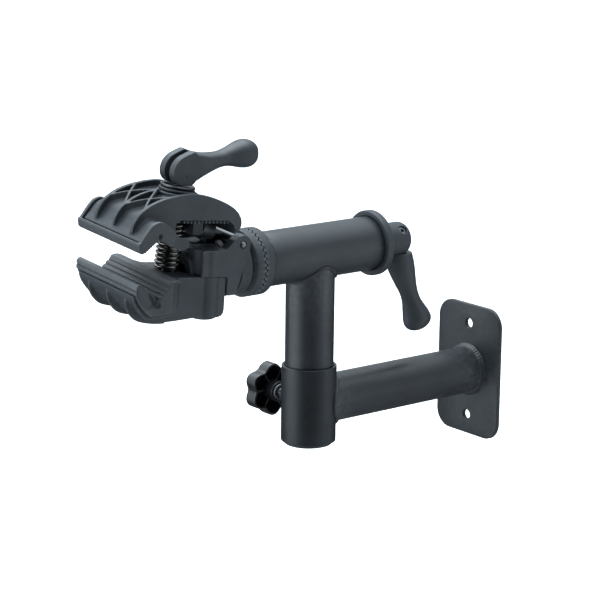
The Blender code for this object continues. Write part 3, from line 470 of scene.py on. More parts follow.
# ================================================================ wall bracket
def rounded_rect(w, h, r, n=24):
    pts = []
    for cx, cz, a0 in ((w / 2 - r, h / 2 - r, 0), (-w / 2 + r, h / 2 - r, 90),
                       (-w / 2 + r, -h / 2 + r, 180), (w / 2 - r, -h / 2 + r, 270)):
        for k in range(n + 1):
            a = math.radians(a0 + 90 * k / n)
            pts.append((cx + r * math.cos(a), cz + r * math.sin(a)))
    return pts


bm = bmesh.new()
loops = []
for inset, y in ((0.45, 0.0), (0.13, -0.13), (0.0, -0.45), (0.0, -3.1), (0.09, -3.45), (0.34, -3.78), (0.9, -4.0)):
    loops.append([bm.verts.new((x, y, z)) for x, z in rounded_rect(86 - 2 * inset, 130 - 2 * inset, 18 - inset)])
for a, b in zip(loops, loops[1:]):
    for k in range(len(a)):
        j = (k + 1) % len(a)
        bm.faces.new((a[k], a[j], b[j], b[k]))
bm.faces.new(loops[0])
bm.faces.new(list(reversed(loops[-1])))
plate = to_object(bm, "plate")
for s in (1, -1):
    cut(plate, turned([(0, -5.5), (6.0, -5.5), (5.4, -4.1), (4.9, -3.75), (4.6, -3.4), (4.5, -3.0), (4.5, -0.9),
                       (4.6, -0.5), (4.9, -0.15), (5.4, 0.1), (6.0, 1.5), (0, 1.5)], "Y", (0, 0, s * 46.0), 64))
piece(plate, "bracket_plate", POWDER_PAINTED_SHADE, "root", ["wall_plate"])

arm = turned([(ARM_R, -4.1), (ARM_R, -40), (ARM_R, -80), (ARM_R, -120), (ARM_R, -160), (ARM_R, POST_Y + 6),
              (20.0, POST_Y + 6), (20.0, -4.1)], "Y", seg=160)
cut(arm, rod(24.6, -60, 60, "Z", (0, POST_Y, 0), 160))
piece(arm, "bracket_arm", POWDER_PAINTED_SHADE, "root", ["wall_arm"])

# the bead that joins the arm to the plate
bm = bmesh.new()
n, rings = 540, []
for k in range(n):
    t = 2 * math.pi * k / n
    f = 52 * k / n
    lift = 0.30 * abs(math.sin(math.pi * f)) ** 0.7 + 0.5 * noise.noise(Vector((math.cos(t) * 2.5, math.sin(t) * 2.5, 3.1)))
    ring = []
    for i in range(9):
        a = math.pi / 2 * i / 8
        legr, legy = 3.5 + lift, 3.9 + lift
        q = 0.80 + 0.20 * abs(math.cos(2 * a))
        r = ARM_R - 0.2 + legr * math.cos(a) * q
        y = -4.0 - legy * math.sin(a) * q
        ring.append((r, y))
    ring.append((ARM_R - 0.6, -4.2))
    ring.append((ARM_R - 0.6, -3.9))
    rings.append([bm.verts.new((r * math.cos(t), y, r * math.sin(t))) for r, y in ring])
for k in range(n):
    a, b = rings[k], rings[(k + 1) % n]
    for i in range(len(a)):
        j = (i + 1) % len(a)
        bm.faces.new((a[i], a[j], b[j], b[i]))
piece(to_object(bm, "bead"), "plate_weld", WELDED, "root", ["arm_plate_weld"], sharp=70)

n = 720
path = [(a, POST_Y + c, b) for a, b, c in saddle(ARM_R + 0.5, SLEEVE_R + 0.5, n)]
piece(tube(path, weld_radii(n, 2.15, 60, 7.7), 14, True), "sleeve_weld", WELDED, "root",
      ["arm_sleeve_weld"], sharp=70)

sleeve = turned(rounded([(SLEEVE_R, -SLEEVE_HALF), (SLEEVE_R, -12), (SLEEVE_R, 12), (SLEEVE_R, SLEEVE_HALF),
                         (22.8, SLEEVE_HALF), (22.8, -SLEEVE_HALF)], [0.8, 0, 0, 0.8, 0.5, 0.5], 5), "Z",
                (0, POST_Y, 0), 160)
cut(sleeve, rod(4.4, -40, -15, "X", (0, POST_Y, 0), 40))
piece(sleeve, "bracket_sleeve", POWDER_PAINTED_SHADE, "root", ["post_sleeve"])
boss = turned(rounded([(4.3, -20), (4.3, -34.5), (8.2, -34.5), (8.2, -20)], [0, 0.5, 0.9, 0], 4), "X",
              (0, POST_Y, 0), 72)
cut(boss, rod(25.2, -60, 60, "Z", (0, POST_Y, 0), 96))
piece(boss, "thread_boss", POWDER_PAINTED_SHADE, "root", ["knob_boss"])
n = 200
path = [(-math.sqrt(max((SLEEVE_R + 0.3) ** 2 - (8.4 * math.cos(2 * math.pi * k / n)) ** 2, 0)),
         POST_Y + 8.4 * math.cos(2 * math.pi * k / n), 8.4 * math.sin(2 * math.pi * k / n)) for k in range(n)]
piece(tube(path, weld_radii(n, 1.2, 22, 4.4), 10, True), "boss_weld", WELDED, "root", [], sharp=70)

# ================================================================ clamping knob
KNOB_BACK, KNOB_FRONT, KNOB_R = -52.0, -67.0, 25.3
KNOB_AT = Matrix.Translation((0, POST_Y, 0))


def lobed_ring(r, x, n=180, depth=2.3, lobes=6):
    pts = []
    for k in range(n):
        t = 2 * math.pi * k / n
        c = 0.5 + 0.5 * math.cos(lobes * (t - math.pi / 2))
        rr = r - 2 * depth * (1 - c ** 0.75)
        pts.append((x, rr * math.cos(t), rr * math.sin(t)))
    return pts


knob = loft([lobed_ring(KNOB_R - 3.0, KNOB_FRONT), lobed_ring(KNOB_R - 1.0, KNOB_FRONT + 0.7),
             lobed_ring(KNOB_R, KNOB_FRONT + 2.6), lobed_ring(KNOB_R, KNOB_BACK - 1.0),
             lobed_ring(KNOB_R - 0.5, KNOB_BACK)])
cut(knob, loft([lobed_ring(KNOB_R - 4.0, KNOB_FRONT + 3.2), lobed_ring(KNOB_R - 2.6, KNOB_FRONT + 4.4),
                lobed_ring(KNOB_R - 2.2, KNOB_BACK + 3)]))
join(knob, rod(9.6, KNOB_FRONT + 1.5, -43.0, "X", seg=64))
for k in range(6):
    web = block(KNOB_FRONT + 1.6, KNOB_BACK - 2.2, 6, KNOB_R - 4.4, -0.9, 0.9)
    join(knob, moved(web, Matrix.Rotation(math.radians(60 * k), 4, "X")))
cut(knob, rod(4.35, KNOB_FRONT + 5.7, -30, "X", seg=48), rod(7.95, -50.3, -40, "X", seg=48))
piece(mould(knob, 0.45, 3), "clamp_knob", KNOBBED, "knob", ["star_knob"], KNOB_AT, 0)
insert = turned(rounded([(7.6, -50.0), (7.6, -41.2), (6.2, -41.2), (5.7, -42.6), (4.35, -42.6), (4.35, -50.0)],
                        [0.2, 0.6, 0.2, 0.2, 0.2, 0.2], 3), "X", seg=72)
piece(insert, "knob_bush", GREY, "knob", ["knob_insert"], KNOB_AT)
stud = moved(threaded(4.0, -60.0, -22.9, 1.25, 0.55), Matrix.Rotation(math.radians(90), 4, "Y"))
# the thread runs along -X: a turn about Y takes +Z to +X
piece(stud, "knob_stud_thread", PINNED, "knob_screw", ["knob_stud"], KNOB_AT, 50)

# ================================================================ swivelling post and barrel
CAP_Z = -SLEEVE_HALF - 2.8
cap = turned(rounded([(0, CAP_Z), (POST_R, CAP_Z), (POST_R, CAP_Z + 2.6), (19.7, CAP_Z + 2.6), (19.7, CAP_Z + 12),
                      (0, CAP_Z + 12)], [0, 1.5, 0.3, 0.2, 0.6, 0], 6, closed=False), "Z", (0, POST_Y, 0), 128)
piece(cap, "post_foot_plug", MOULDED, "post_carrier", ["post_end_cap"])
post = turned([(POST_R, CAP_Z + 2.9), (POST_R, 0), (POST_R, 40), (POST_R, 80), (POST_R, BARREL_Z - 5),
               (20.0, BARREL_Z - 5), (20.0, CAP_Z + 2.9)], "Z", (0, POST_Y, 0), 160)
cut(post, rod(24.3, -260, -150, "Y", (0, 0, BARREL_Z), 160))
piece(post, "swivel_post", POWDER, "post", ["post_tube"])
n = 720
path = [(a, POST_Y + b, BARREL_Z - c) for a, b, c in saddle(POST_R + 0.4, BARREL_R + 0.4, n)]
piece(tube(path, weld_radii(n, 1.75, 60, 1.3), 14, True), "post_weld", WELDED, "post",
      ["post_barrel_weld"], sharp=70)
barrel = turned(rounded([(BARREL_R, -266.2), (BARREL_R, -240), (BARREL_R, -200), (BARREL_R, -160), (BARREL_R, -131.0),
                         (22.5, -131.0), (22.5, -266.2)], [0.4, 0, 0, 0, 0.4, 0.3, 0.3], 3), "Y", seg=160)
piece(barrel, "barrel_body", POWDER, "post", ["barrel_tube"], BARREL)
cap = turned(rounded([(25.3, -130.7), (25.3, -135.9), (RING_R, -135.9), (RING_R, -127.8), (TIE_R + 0.3, -127.8),
                      (TIE_R + 0.3, -130.7)], [0.2, 0.8, 1.5, 1.9, 0.3, 0.2], 6), "Y", seg=160)
piece(cap, "barrel_rear_cap", MOULDED, "post", ["rear_cap"], BARREL)


def tooth_wave(k, per):
    """Height of a rounded V tooth, -1 to 1, at step k of per steps in each tooth."""
    f = (k / per) % 1.0
    v = 1 - 4 * abs(f - 0.5)            # triangle, top at the middle
    return max(-0.86, min(0.86, v)) / 0.86


def toothed(y0, back, half, per=10):
    n = TEETH * per
    bm = bmesh.new()

    def loop(r, f):
        return [bm.verts.new((r * math.cos(2 * math.pi * k / n), f(k), r * math.sin(2 * math.pi * k / n)))
                for k in range(n)]

    def zig(k):
        return y0 - 1.2 * tooth_wave(k + half * per / 2, per)

    rows = [loop(RING_R, zig)] + [loop(r, lambda k, y=y: y) for r, y in back] + [loop(24.0, zig)]
    for a, b in zip(rows, rows[1:] + rows[:1]):
        for k in range(n):
            j = (k + 1) % n
            bm.faces.new((a[k], a[j], b[j], b[k]))
    return to_object(bm, "ring")


# the CAD's rings have a tooth top at every other one of 72 steps; half shifts it by half a tooth
back = rounded([(RING_R, -274.6), (RING_R, -267.2), (26.6, -262.6), (25.3, -262.4), (25.3, -266.5),
                (TIE_R + 0.3, -266.5), (TIE_R + 0.3, TEETH_Y + 2.6)], [0, 1.6, 1.0, 0.1, 0, 0, 0], 4, closed=False)
piece(toothed(TEETH_Y + 0.78, back, 1), "rear_teeth", MOULDED, "post", ["rear_tooth_ring"], BARREL, 28)
back = rounded([(RING_R, -279.4), (RING_R, -286.4), (TIE_R + 0.3, -286.4), (TIE_R + 0.3, TEETH_Y - 2.6)],
               [0, 1.5, 0, 0], 5, closed=False)
piece(toothed(TEETH_Y - 0.78, back, 0), "front_teeth", MOULDED, "head", ["front_tooth_ring"], HEAD, 28)
tie = turned(rounded([(0, -337.5), (9.8, -337.5), (9.8, -330.5), (TIE_R, -330.5), (TIE_R, -100.0), (0, -100)],
                     [0, 0.8, 0.3, 0, 0.7, 0], 3, closed=False), "Y", seg=72)
piece(tie, "tie_bolt", OXIDE, "tie", ["tie_rod"], BARREL)

# ================================================================ crank handle
washer = turned(rounded([(13.0, -127.5), (13.0, -126.2), (TIE_R + 0.3, -126.2), (TIE_R + 0.3, -127.5)], 0.25, 3),
                "Y", seg=96)
piece(washer, "crank_washer", GREY, "handle", ["thrust_washer"], BARREL)
HUB_R = 16.0
dome = [(HUB_R * math.cos(a) ** 0.8, -100 + 10.4 * math.sin(a) ** 0.8)
        for a in (math.radians(d) for d in range(4, 88, 6))]
hub = turned([(0, -125.9), (HUB_R - 0.9, -125.9), (HUB_R - 0.25, -125.65), (HUB_R, -125.0), (HUB_R, -112), (HUB_R, -100)] +
             dome + [(0, -89.5)], "Y", seg=96)
cut(hub, block(-20, 20, -130, -70, -20, -12.4))
cut(hub, turned([(0, -130), (10.6, -130), (10.6, -108.4), (0, -108.4)], "Y", (0, 0, 0), 6),
    rod(TIE_R + 0.3, -110, -98.5, "Y", seg=48))
SCREW_LEAN = Matrix.Translation((0, -101.9, 0)) @ Matrix.Rotation(math.radians(90 - 43.0), 4, "Y")
cut(hub, moved(rod(4.3, 9.0, 30, "Z", seg=48), SCREW_LEAN), moved(rod(2.3, 5.0, 30, "Z", seg=32), SCREW_LEAN))
piece(mould(hub, 0.42, 3), "crank_hub", MOULDED, "handle", ["handle_hub"], BARREL, 0)
nut = rod(10.2, -125.5, -108.8, "Y", seg=6)
cut(nut, rod(TIE_R + 0.3, -130, -100, "Y", seg=48))
piece(nut, "crank_nut", ZINC, "handle", ["handle_nut"], BARREL)
screw = turned(rounded([(0, 6.7), (2.0, 6.7), (2.0, 9.3), (4.0, 9.3), (4.0, 13.9), (0, 13.9)], [0, 0.3, 0.2, 0.2, 0.6, 0],
                       4, closed=False), "Z", seg=64)
cut(screw, turned([(0, 11.4), (2.1, 11.4), (2.1, 13.6), (2.5, 14.5), (0, 14.5)], "Z", (0, 0, 0), 6))
piece(moved(screw, SCREW_LEAN), "crank_screw", GREY, "handle", ["handle_screw"], BARREL)
GRIP = [(-12.7, -97.9, 13.4, 13.2), (-20, -96.2, 14.2, 13.2), (-28, -93.8, 13.8, 12.7), (-37, -90.6, 12.4, 11.2),
        (-46, -87.0, 10.6, 9.9), (-54, -83.1, 9.3, 9.0), (-60, -80.2, 9.4, 9.2), (-66, -77.0, 10.8, 10.4),
        (-72, -74.1, 12.8, 12.0), (-78, -72.1, 13.9, 13.0), (-83, -72.2, 13.4, 12.6), (-87.5, -73.4, 10.9, 10.3),
        (-90.6, -74.8, 6.8, 6.5), (-92.0, -75.3, 2.2, 2.1)]
top = GRIP[0]
rows = [(-12.7, top[1], top[2] - 1.1, top[3] - 1.1), (-12.85, top[1], top[2] - 0.5, top[3] - 0.5),
        (-13.3, top[1], top[2] - 0.1, top[3] - 0.1)] + curve(GRIP, 6)[1:]
grip = loft([[(ax * math.cos(t), yc + ay * math.sin(t), z) for t in (2 * math.pi * k / 72 for k in range(72))]
             for z, yc, ay, ax in rows])
piece(grip, "crank_grip", MOULDED, "handle", ["lock_handle"], BARREL, 60)


# ================================================================ head: housing and lower jaw
def top_line(y):
    return 4.9 - 0.1204 * (y + 369.0)


EAR = [(PIN_Y + 8.6 * math.cos(math.radians(a)), PIN_Z + 8.6 * math.sin(math.radians(a)))
       for a in range(132, -18, -6)]
side = [(-345.5, top_line(-345.5) + 0.3), (-345.5, 25.5), (-342, 25.8), (-336.6, 25.1), (-330, 24.2), (-324.4, 23.8),
        (-320.5, 24.4), (-317.2, 26.6), (-312.6, 31.0)] + EAR + \
       [(-296.2, 16), (-299.6, 8), (-302.3, 1), (-304.6, -8), (-308.6, -17.8), (REAR + 0.7, -16.8),
        (REAR + 0.7, top_line(REAR) + 0.3)]
housing = turned(rounded([(TIE_R + 0.3, -286.7), (24.8, -286.7), (24.8, -288.6), (27.2, -289.2), (27.2, -300.9),
                          (21.6, -301.1), (21.6, -304.3), (27.2, -304.6), (27.2, REAR + 0.7), (TIE_R + 0.3, REAR + 0.7)],
                         [0, 0, 0, 0.9, 0.5, 0, 0, 0.5, 0, 0], 3), "Y", seg=96)
cut(housing, block(-40, 40, -330, -305.0, -40, -17.8))
join(housing, prism(side, 19.0, BODY_HALF), prism(side, -BODY_HALF, -19.0))
fence = [(-344.5, 23.0), (-344.5, 27.6), (-339.0, 29.2), (-328.0, 29.0), (-319.5, 28.6), (-314.5, 29.5), (-312.0, 23.0)]
join(housing, prism(fence, -27.6, -21.0))
core = [(-345.2, top_line(-345.2) + 0.3), (-345.2, 25.2), (-339.5, 25.2), (-338.5, 15), (-303.5, 15), (-303.5, -17),
        (REAR + 0.7, -17), (REAR + 0.7, top_line(REAR) + 0.3)]
join(housing, prism(core, -20.5, 20.5))
deck = [(-400, 25.6), (-342, 25.6), (-336.6, 25.0), (-330, 24.1), (-300, 24.1), (-300, 60), (-400, 60)]
under = [(-400, top_line(-400) + 0.3), (-300, top_line(-300) + 0.3), (-300, -60), (-400, -60)]
for s in (1, -1):
    col = rod(COLUMN[2], -10, 40, "Z", (s * COLUMN[0], COLUMN[1], 0), 64)
    cut(col, prism(deck, -60, 60), prism(under, -60, 60))
    join(housing, col)
nose = rod(19.5, -350.2, -340, "Y", seg=72, chamfer=1.2)
cut(nose, prism(under, -60, 60))
join(housing, nose)
cut(housing, rod(10.3, -360, -330.0, "Y", seg=64), rod(TIE_R + 0.3, -340, -280, "Y", seg=48))
cut(housing, rod(3.3, -40, 40, "X", (0, PIN_Y, PIN_Z), 32), rod(8.4, -18.95, 18.95, "X", (0, PIN_Y, PIN_Z), 64),
    block(-5.6, 5.6, -321, -306, 20.5, 60))
for s in (1, -1):
    cut(housing, rod(3.4, -10, 16, "Z", (s * SCREW_X, COLUMN[1], 0), 32))
piece(mould(housing, 0.6, 4), "swivel_housing", MOULDED, "head", ["head_housing"], HEAD, 0)

body = [(REAR, top_line(REAR)), (-386.6, top_line(-386.6)), (-386.6, -14), (-390, -19.6), (-398.5, -22),
        (-398.5, -29.6), (-393, -31.6), (-384, -33.4), (-372, -33.9), (-350.8, -34.0), (-342, -35.2), (-334, -36.6),
        (REAR - 5.4, -36.9), (REAR - 2.3, -35.9), (REAR - 0.6, -33.6), (REAR, -30.4)]
jaw = prism(body, -27.0, 27.0)
for s in (1, -1):
    col = turned(rounded([(0, -37.6), (COLUMN[2], -37.6), (COLUMN[2], 10), (0, 10)], [0, 3.0, 0, 0], 6, closed=False),
                 "Z", (s * COLUMN[0], COLUMN[1], 0), 64)
    cut(col, prism([(-400, top_line(-400)), (-300, top_line(-300)), (-300, 60), (-400, 60)], -60, 60))
    join(jaw, col)
cradle_out = curve([(-426.4, 0.2), (-425.6, -4.5), (-422.4, -10.5), (-414.0, -20.6), (-409.6, -22.6), (-398.0, -23.0),
                    (-385.5, -21.5)], 5)
cradle_in = [(-385.5, -16.5), (-389.6, -17.9), (-398.1, -19.2), (-409.7, -19.1), (-412.3, -17.8), (-421.2, -7.6),
             (-424.7, 0.2)]
join(jaw, prism(cradle_out + cradle_in, -PLATE_HALF, PLATE_HALF))
wing = plan_prism(rounded([(-PLATE_HALF, -386.9), (PLATE_HALF, -386.9), (PLATE_HALF, -381.0), (38.5, -376.5), (33.0, -373.0),
                           (26.0, -370.0), (-26.0, -370.0), (-33.0, -373.0), (-38.5, -376.5), (-PLATE_HALF, -381.0)],
                          [0, 0, 3, 6, 6, 3, 3, 6, 6, 3], 4), -24, 20)
cut(wing, prism([(-390, 7.6), (-386.9, 6.6), (-384.8, 7.2), (-380.0, top_line(-380.0) - 0.05),
                 (-360, top_line(-360) - 0.05), (-360, 60), (-390, 60)], -60, 60),
    prism(curve([(-390, -14), (-386.9, -20.5), (-380, -17), (-372, -11), (-360, -6)], 4) + [(-360, -60), (-390, -60)],
          -60, 60))
join(jaw, wing)
rib = curve([(-425.6, -3.0), (-425.6, -9.6), (-422.3, -18.0), (-414.6, -26.0), (-405.0, -29.8), (-394, -32.2),
             (-384, -33.3)], 5) + [(-386, -20.5), (-409, -20.8), (-414, -18.2), (-423.4, -8)]
for x in (-26.6, 1.0, 28.6):
    join(jaw, prism(rib, x - 1.5, x + 1.5))
cut(jaw, moved(rod(6.4, 0, 40, "Z", seg=48), LEAN), rod(8.3, -12.4, 12.4, "X", (0, NUT_Y, NUT_Z), 64),
    block(-12.4, 12.4, NUT_Y - 8.3, NUT_Y + 8.3, -50, NUT_Z), rod(10.3, -352, -310, "Y", seg=64))
for s in (1, -1):
    cut(jaw, rod(3.4, -40, 20, "Z", (s * SCREW_X, COLUMN[1], 0), 32),
        rod(5.5, -40, -30.6, "Z", (s * SCREW_X, COLUMN[1], 0), 48))
piece(mould(jaw, 0.68, 3), "fixed_jaw", MOULDED, "head", ["lower_jaw"], HEAD, 0)


def grooved(p, q, pitch, depth, n=6):
    """Points from p to q with soft grooves sunk to the left-hand side."""
    p, q = Vector(p), Vector(q)
    d = q - p
    count = max(1, round(d.length / pitch))
    side_ = Vector((-d.y, d.x)).normalized()
    pts = []
    for i in range(count * n + 1):
        f = (i / n) % 1.0
        dip = depth * max(0.0, 1 - (abs(f - 0.5) / 0.26) ** 2) if 0 < i < count * n else 0.0
        pts.append(tuple(p + d * (i / (count * n)) + side_ * dip))
    return pts


def padded_prism(outline, half, r=1.2, steps=4):
    """An outline extruded across x with its end edges rounded by moving the points inwards."""
    n = len(outline)
    area = sum(outline[k][0] * outline[(k + 1) % n][1] - outline[(k + 1) % n][0] * outline[k][1] for k in range(n))
    turn = 1.0 if area > 0 else -1.0
    inward = []
    for k in range(n):
        a, b = Vector(outline[k - 1]), Vector(outline[(k + 1) % n])
        t = (b - a).normalized()
        inward.append(Vector((-t.y, t.x)) * turn)
    rows = []
    for i in range(steps + 1):
        a = math.pi / 2 * i / steps
        rows.append((-half + r * (1 - math.sin(a)), r * (1 - math.cos(a))))
    rows = [(x, e) for x, e in reversed([(-half + r * (1 - math.cos(math.pi / 2 * i / steps)),
                                          r * (1 - math.sin(math.pi / 2 * i / steps))) for i in range(steps, -1, -1)])]
    full = rows + [(x, 0.0) for x in (-half / 2, 0.0, half / 2)] + [(-x, e) for x, e in reversed(rows)]
    bm = bmesh.new()
    rings = [[bm.verts.new((x, p[0] + w.x * e, p[1] + w.y * e)) for p, w in zip(outline, inward)] for x, e in full]
    for a, b in zip(rings, rings[1:]):
        for k in range(n):
            j = (k + 1) % n
            bm.faces.new((a[k], a[j], b[j], b[k]))
    for cap_ in (rings[0], list(reversed(rings[-1]))):
        f = bm.faces.new(cap_)
        bmesh.ops.triangulate(bm, faces=[f])
    return to_object(bm, "pad")


rear_face = grooved((-391.6, 7.0), (-402.0, -2.2), 4.4, 0.9, 8)
front_face = grooved((-407.4, -1.6), (-414.0, 3.4), 2.7, 0.5) + grooved((-414.3, 3.7), (-419.6, 8.9), 2.6, 0.5)
lower = [(-422.2, 11.3), (-423.4, 11.3), (-424.7, 10.7), (-425.8, 9.4), (-426.3, 8.0), (-426.4, 6.7), (-425.6, 6.4),
         (-425.4, 5.8), (-425.6, 5.2), (-426.4, 4.9), (-426.4, 2.8), (-425.9, 1.6), (-425.0, 0.9), (-424.6, -0.4)] + \
    [(-423.2, -3.2), (-420.8, -7.4), (-416.4, -12.6), (-412.0, -17.4), (-409.6, -18.7), (-398.2, -18.8), (-389.8, -17.5),
     (-388.0, -15.6), (-387.3, -13.5), (-387.3, 7.5), (-380.4, 6.9), (-379.7, 7.3), (-379.8, 8.0), (-381.4, 9.0),
     (-384.5, 9.6), (-387.8, 9.7), (-390.2, 9.0)] + \
    rear_face + [(-402.5, -2.7), (-402.7, -8.1), (-401.4, -8.2), (-401.3, -11.1), (-407.3, -11.1), (-407.2, -8.2),
                 (-405.9, -8.1), (-406.0, -2.7)] + front_face + [(-420.4, 9.7), (-421.5, 10.8)]
piece(padded_prism(lower, 46.2, 0.9), "fixed_jaw_pad", RUBBER, "head", ["lower_pad"], HEAD, 38)

pin = turned(rounded([(0, -BODY_HALF - 1.1), (3.0, -BODY_HALF - 0.9), (3.0, BODY_HALF + 0.9), (0, BODY_HALF + 1.1)],
                     [0, 1.7, 1.7, 0], 8, closed=False), "X", (0, PIN_Y, PIN_Z), 48)
piece(pin, "jaw_hinge_pin", PINNED, "head", ["hinge_pin"], HEAD)
for s, label in ((1, "near"), (-1, "far")):
    screw = turned(rounded([(0, -35.8), (5.1, -35.8), (5.1, -30.9), (3.0, -30.9), (3.0, 15), (0, 15)],
                           [0, 0.7, 0.2, 0.2, 0.7, 0], 4, closed=False), "Z", (s * SCREW_X, COLUMN[1], 0), 64)
    cut(screw, moved(hex_socket(2.5, -37, -33.4), Matrix.Translation((s * SCREW_X, COLUMN[1], 0))))
    piece(screw, "jaw_bolt_" + label, OXIDE, "head", ["jaw_screw_" + label], HEAD)

# ================================================================ clamp rod, spring and cam lever
nut = rod(8.0, -12.0, 12.0, "X", seg=72, chamfer=0.8)
cut(nut, rod(4.3, -20, 20, "Z", seg=48))
piece(nut, "barrel_nut", ZINC, "cross_nut", ["rod_nut"], ROD)
crod = threaded(4.0, -10.5, 52.0, 1.25, 0.6)
join(crod, turned([(0, 50.5), (3.4, 50.5), (4.0, 51.3), (4.0, CAM_Z - 22.5), (0, CAM_Z - 22.5)], "Z", seg=48),
     block(-3.0, 3.0, -3.9, 3.9, CAM_Z - 24, CAM_Z), rod(6.3, -3.0, 3.0, "X", (0, 0, CAM_Z), 64, chamfer=0.4))
cut(crod, rod(2.8, -10, 10, "X", (0, 0, CAM_Z), 32))
piece(crod, "clamp_screw", PINNED, "rod", ["clamp_rod"], ROD, 40)

COILS, z0, z1 = 15.0, 19.6, SEAT_TOP - 6.7 - 8.6 - 1.5 - 0.5
path, steps = [], int(COILS * 48)
for k in range(steps + 1):
    t = k / steps
    a = 2 * math.pi * COILS * t
    ease = min(1.0, max(0.0, (t * COILS - 0.7) / (COILS - 1.4)))
    path.append((10.0 * math.cos(a), 10.0 * math.sin(a), z0 + (z1 - z0) * (0.93 * ease + 0.07 * t)))
coil = piece(tube(path, 1.38, 14, False, flat=(1, 0, 0)), "return_spring", SPRINGY, "cross_nut",
             ["jaw_spring"], ROD, 60)
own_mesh(coil)


def cam_outline():
    k = CAM_RISE / math.radians(CAM_TURN)
    pts = []
    for d in range(0, int(CAM_TURN) + 1, 3):
        f = math.radians(d)
        h = CAM_LOW + CAM_RISE * d / CAM_TURN
        a = math.radians(-90 - ROD_LEAN) - f
        pts.append(Vector((math.cos(a), math.sin(a))) * h + Vector((math.sin(a), -math.cos(a))) * k)
    return pts


cam = cam_outline()
foot = Vector((math.cos(math.radians(-90 - ROD_LEAN)), math.sin(math.radians(-90 - ROD_LEAN))))
along = Vector((-foot.y, foot.x))
a = math.radians(-90 - ROD_LEAN - CAM_TURN)
t = Vector((math.sin(a), -math.cos(a)))
outline = [tuple(foot * CAM_LOW + along * 7.5)] + [tuple(p) for p in cam] + \
    [tuple(cam[-1] + t * 8.5), (9.0, 21.2), (13.5, 17.0), (16.0, 12.0), (16.0, 0.2), (8.6, -6.4)]
lever = prism(outline, -11.0, 11.0)
HANDLE = [(8.0, -5.6, 19.8, 11.0), (13.0, -4.4, 18.8, 11.0), (19.0, -2.0, 17.6, 10.9), (26.0, 0.0, 16.4, 10.3),
          (33.0, 1.6, 16.3, 9.4), (41.0, 3.0, 16.9, 8.7), (48.5, 3.3, 18.8, 9.0), (55.0, 2.3, 21.1, 10.4),
          (61.0, 0.9, 23.5, 11.8), (66.5, 0.2, 24.8, 12.5), (72.0, 0.6, 24.6, 12.2), (76.6, 2.9, 22.4, 10.4),
          (79.3, 6.6, 18.4, 6.4), (80.2, 10.6, 14.2, 2.0)]


def oval(y, lo, hi, half, n=64, power=2.5):
    pts = []
    for k in range(n):
        w = 2 * math.pi * k / n
        c, s_ = math.cos(w), math.sin(w)
        pts.append((half * math.copysign(abs(c) ** (2 / power), c), y,
                    (lo + hi) / 2 + (hi - lo) / 2 * math.copysign(abs(s_) ** (2 / power), s_)))
    return pts


join(lever, loft([oval(y, lo, hi, h, power=2.4 + 6.0 * max(0.0, 1 - max(0.0, y - 12) / 32) ** 2) for y, lo, hi, h in curve(HANDLE, 5)]))
slot = prism([(-40, -30), (6.0, -30), (9.0, -5), (9.0, 8), (7.0, 40), (-40, 40)], -3.4, 3.4)
cut(lever, slot, rod(2.8, -20, 9.2, "X", seg=40), rod(1.25, 10.2, 12, "X", seg=24))
piece(mould(lever, 0.48, 4), "quick_lever", MOULDED, "lever", ["cam_lever"], LEVER, 0)
pin = rod(2.5, -10.9, 9.0, "X", seg=40, chamfer=0.6)
piece(pin, "lever_pin", OXIDE, "lever", ["cam_pin"], LEVER)

# ================================================================ upper jaw
ARCH = curve([(-421.6, 52.3), (-420.4, 57.0), (-418.1, 61.2), (-413.6, 66.6), (-406.5, 71.1), (-399.0, 74.2),
              (-389.5, 76.6), (-379.6, 77.9), (-368.0, 78.5), (-357.1, 77.9), (-344.8, 74.9), (-336.5, 72.0),
              (-329.3, 68.9), (-322.5, 65.5), (-316.2, 61.6), (-311.2, 57.4), (-307.8, 52.6), (-306.2, 48.4),
              (-306.0, 44.4)], 4)


def offset(line, d):
    pts = []
    for k, p in enumerate(line):
        a_, b_ = line[max(k - 1, 0)], line[min(k + 1, len(line) - 1)]
        t_ = Vector((b_[0] - a_[0], b_[1] - a_[1])).normalized()
        pts.append((p[0] + t_.y * d, p[1] - t_.x * d))
    return pts


def arch_at(y, d=0.0):
    line = offset(ARCH, d)
    for a_, b_ in zip(line, line[1:]):
        if a_[0] <= y <= b_[0]:
            return a_[1] + (b_[1] - a_[1]) * (y - a_[0]) / max(b_[0] - a_[0], 1e-6)
    return line[0][1] if y < line[0][0] else line[-1][1]


window = rounded([(-308.2, 40.0), (-310.3, 38.6), (-312.8, 41.4), (-315.6, 46.8), (-320, 50.2), (-332, 52.2),
                  (-350, 54.2), (-370, 56.2), (-375.2, 55.4), (-376.4, 52.4), (-376.0, 46.0), (-373.4, 42.0),
                  (-366.6, 40.0), (-361.9, 37.4), (-360.2, 33.6), (-361.8, 31.0), (-366.0, 29.9), (-372.7, 30.6),
                  (-380.9, 34.3), (-388.6, 38.8), (-388.6, 48.2), (-396.0, 54.2), (-401.5, 58.2), (-405.2, 59.5),
                  (-409.6, 58.0), (-420.8, 47.4)],
                 [1, 1, 3, 4, 5, 8, 8, 3, 2, 3, 4, 4, 3, 3, 2, 2, 4, 5, 5, 0, 0, 3, 3, 2, 3, 1], 3, closed=False)
wall = ARCH + window
jaw = prism(wall, JAW_HALF - JAW_WALL, JAW_HALF)
other = mirrored(jaw)
roof_out, roof_in = offset(ARCH[8:-3], 6.0), offset(ARCH[8:-3], 10.0)
join(jaw, prism(roof_out + list(reversed(roof_in)), -JAW_HALF + 2, JAW_HALF - 2))
join(jaw, other)
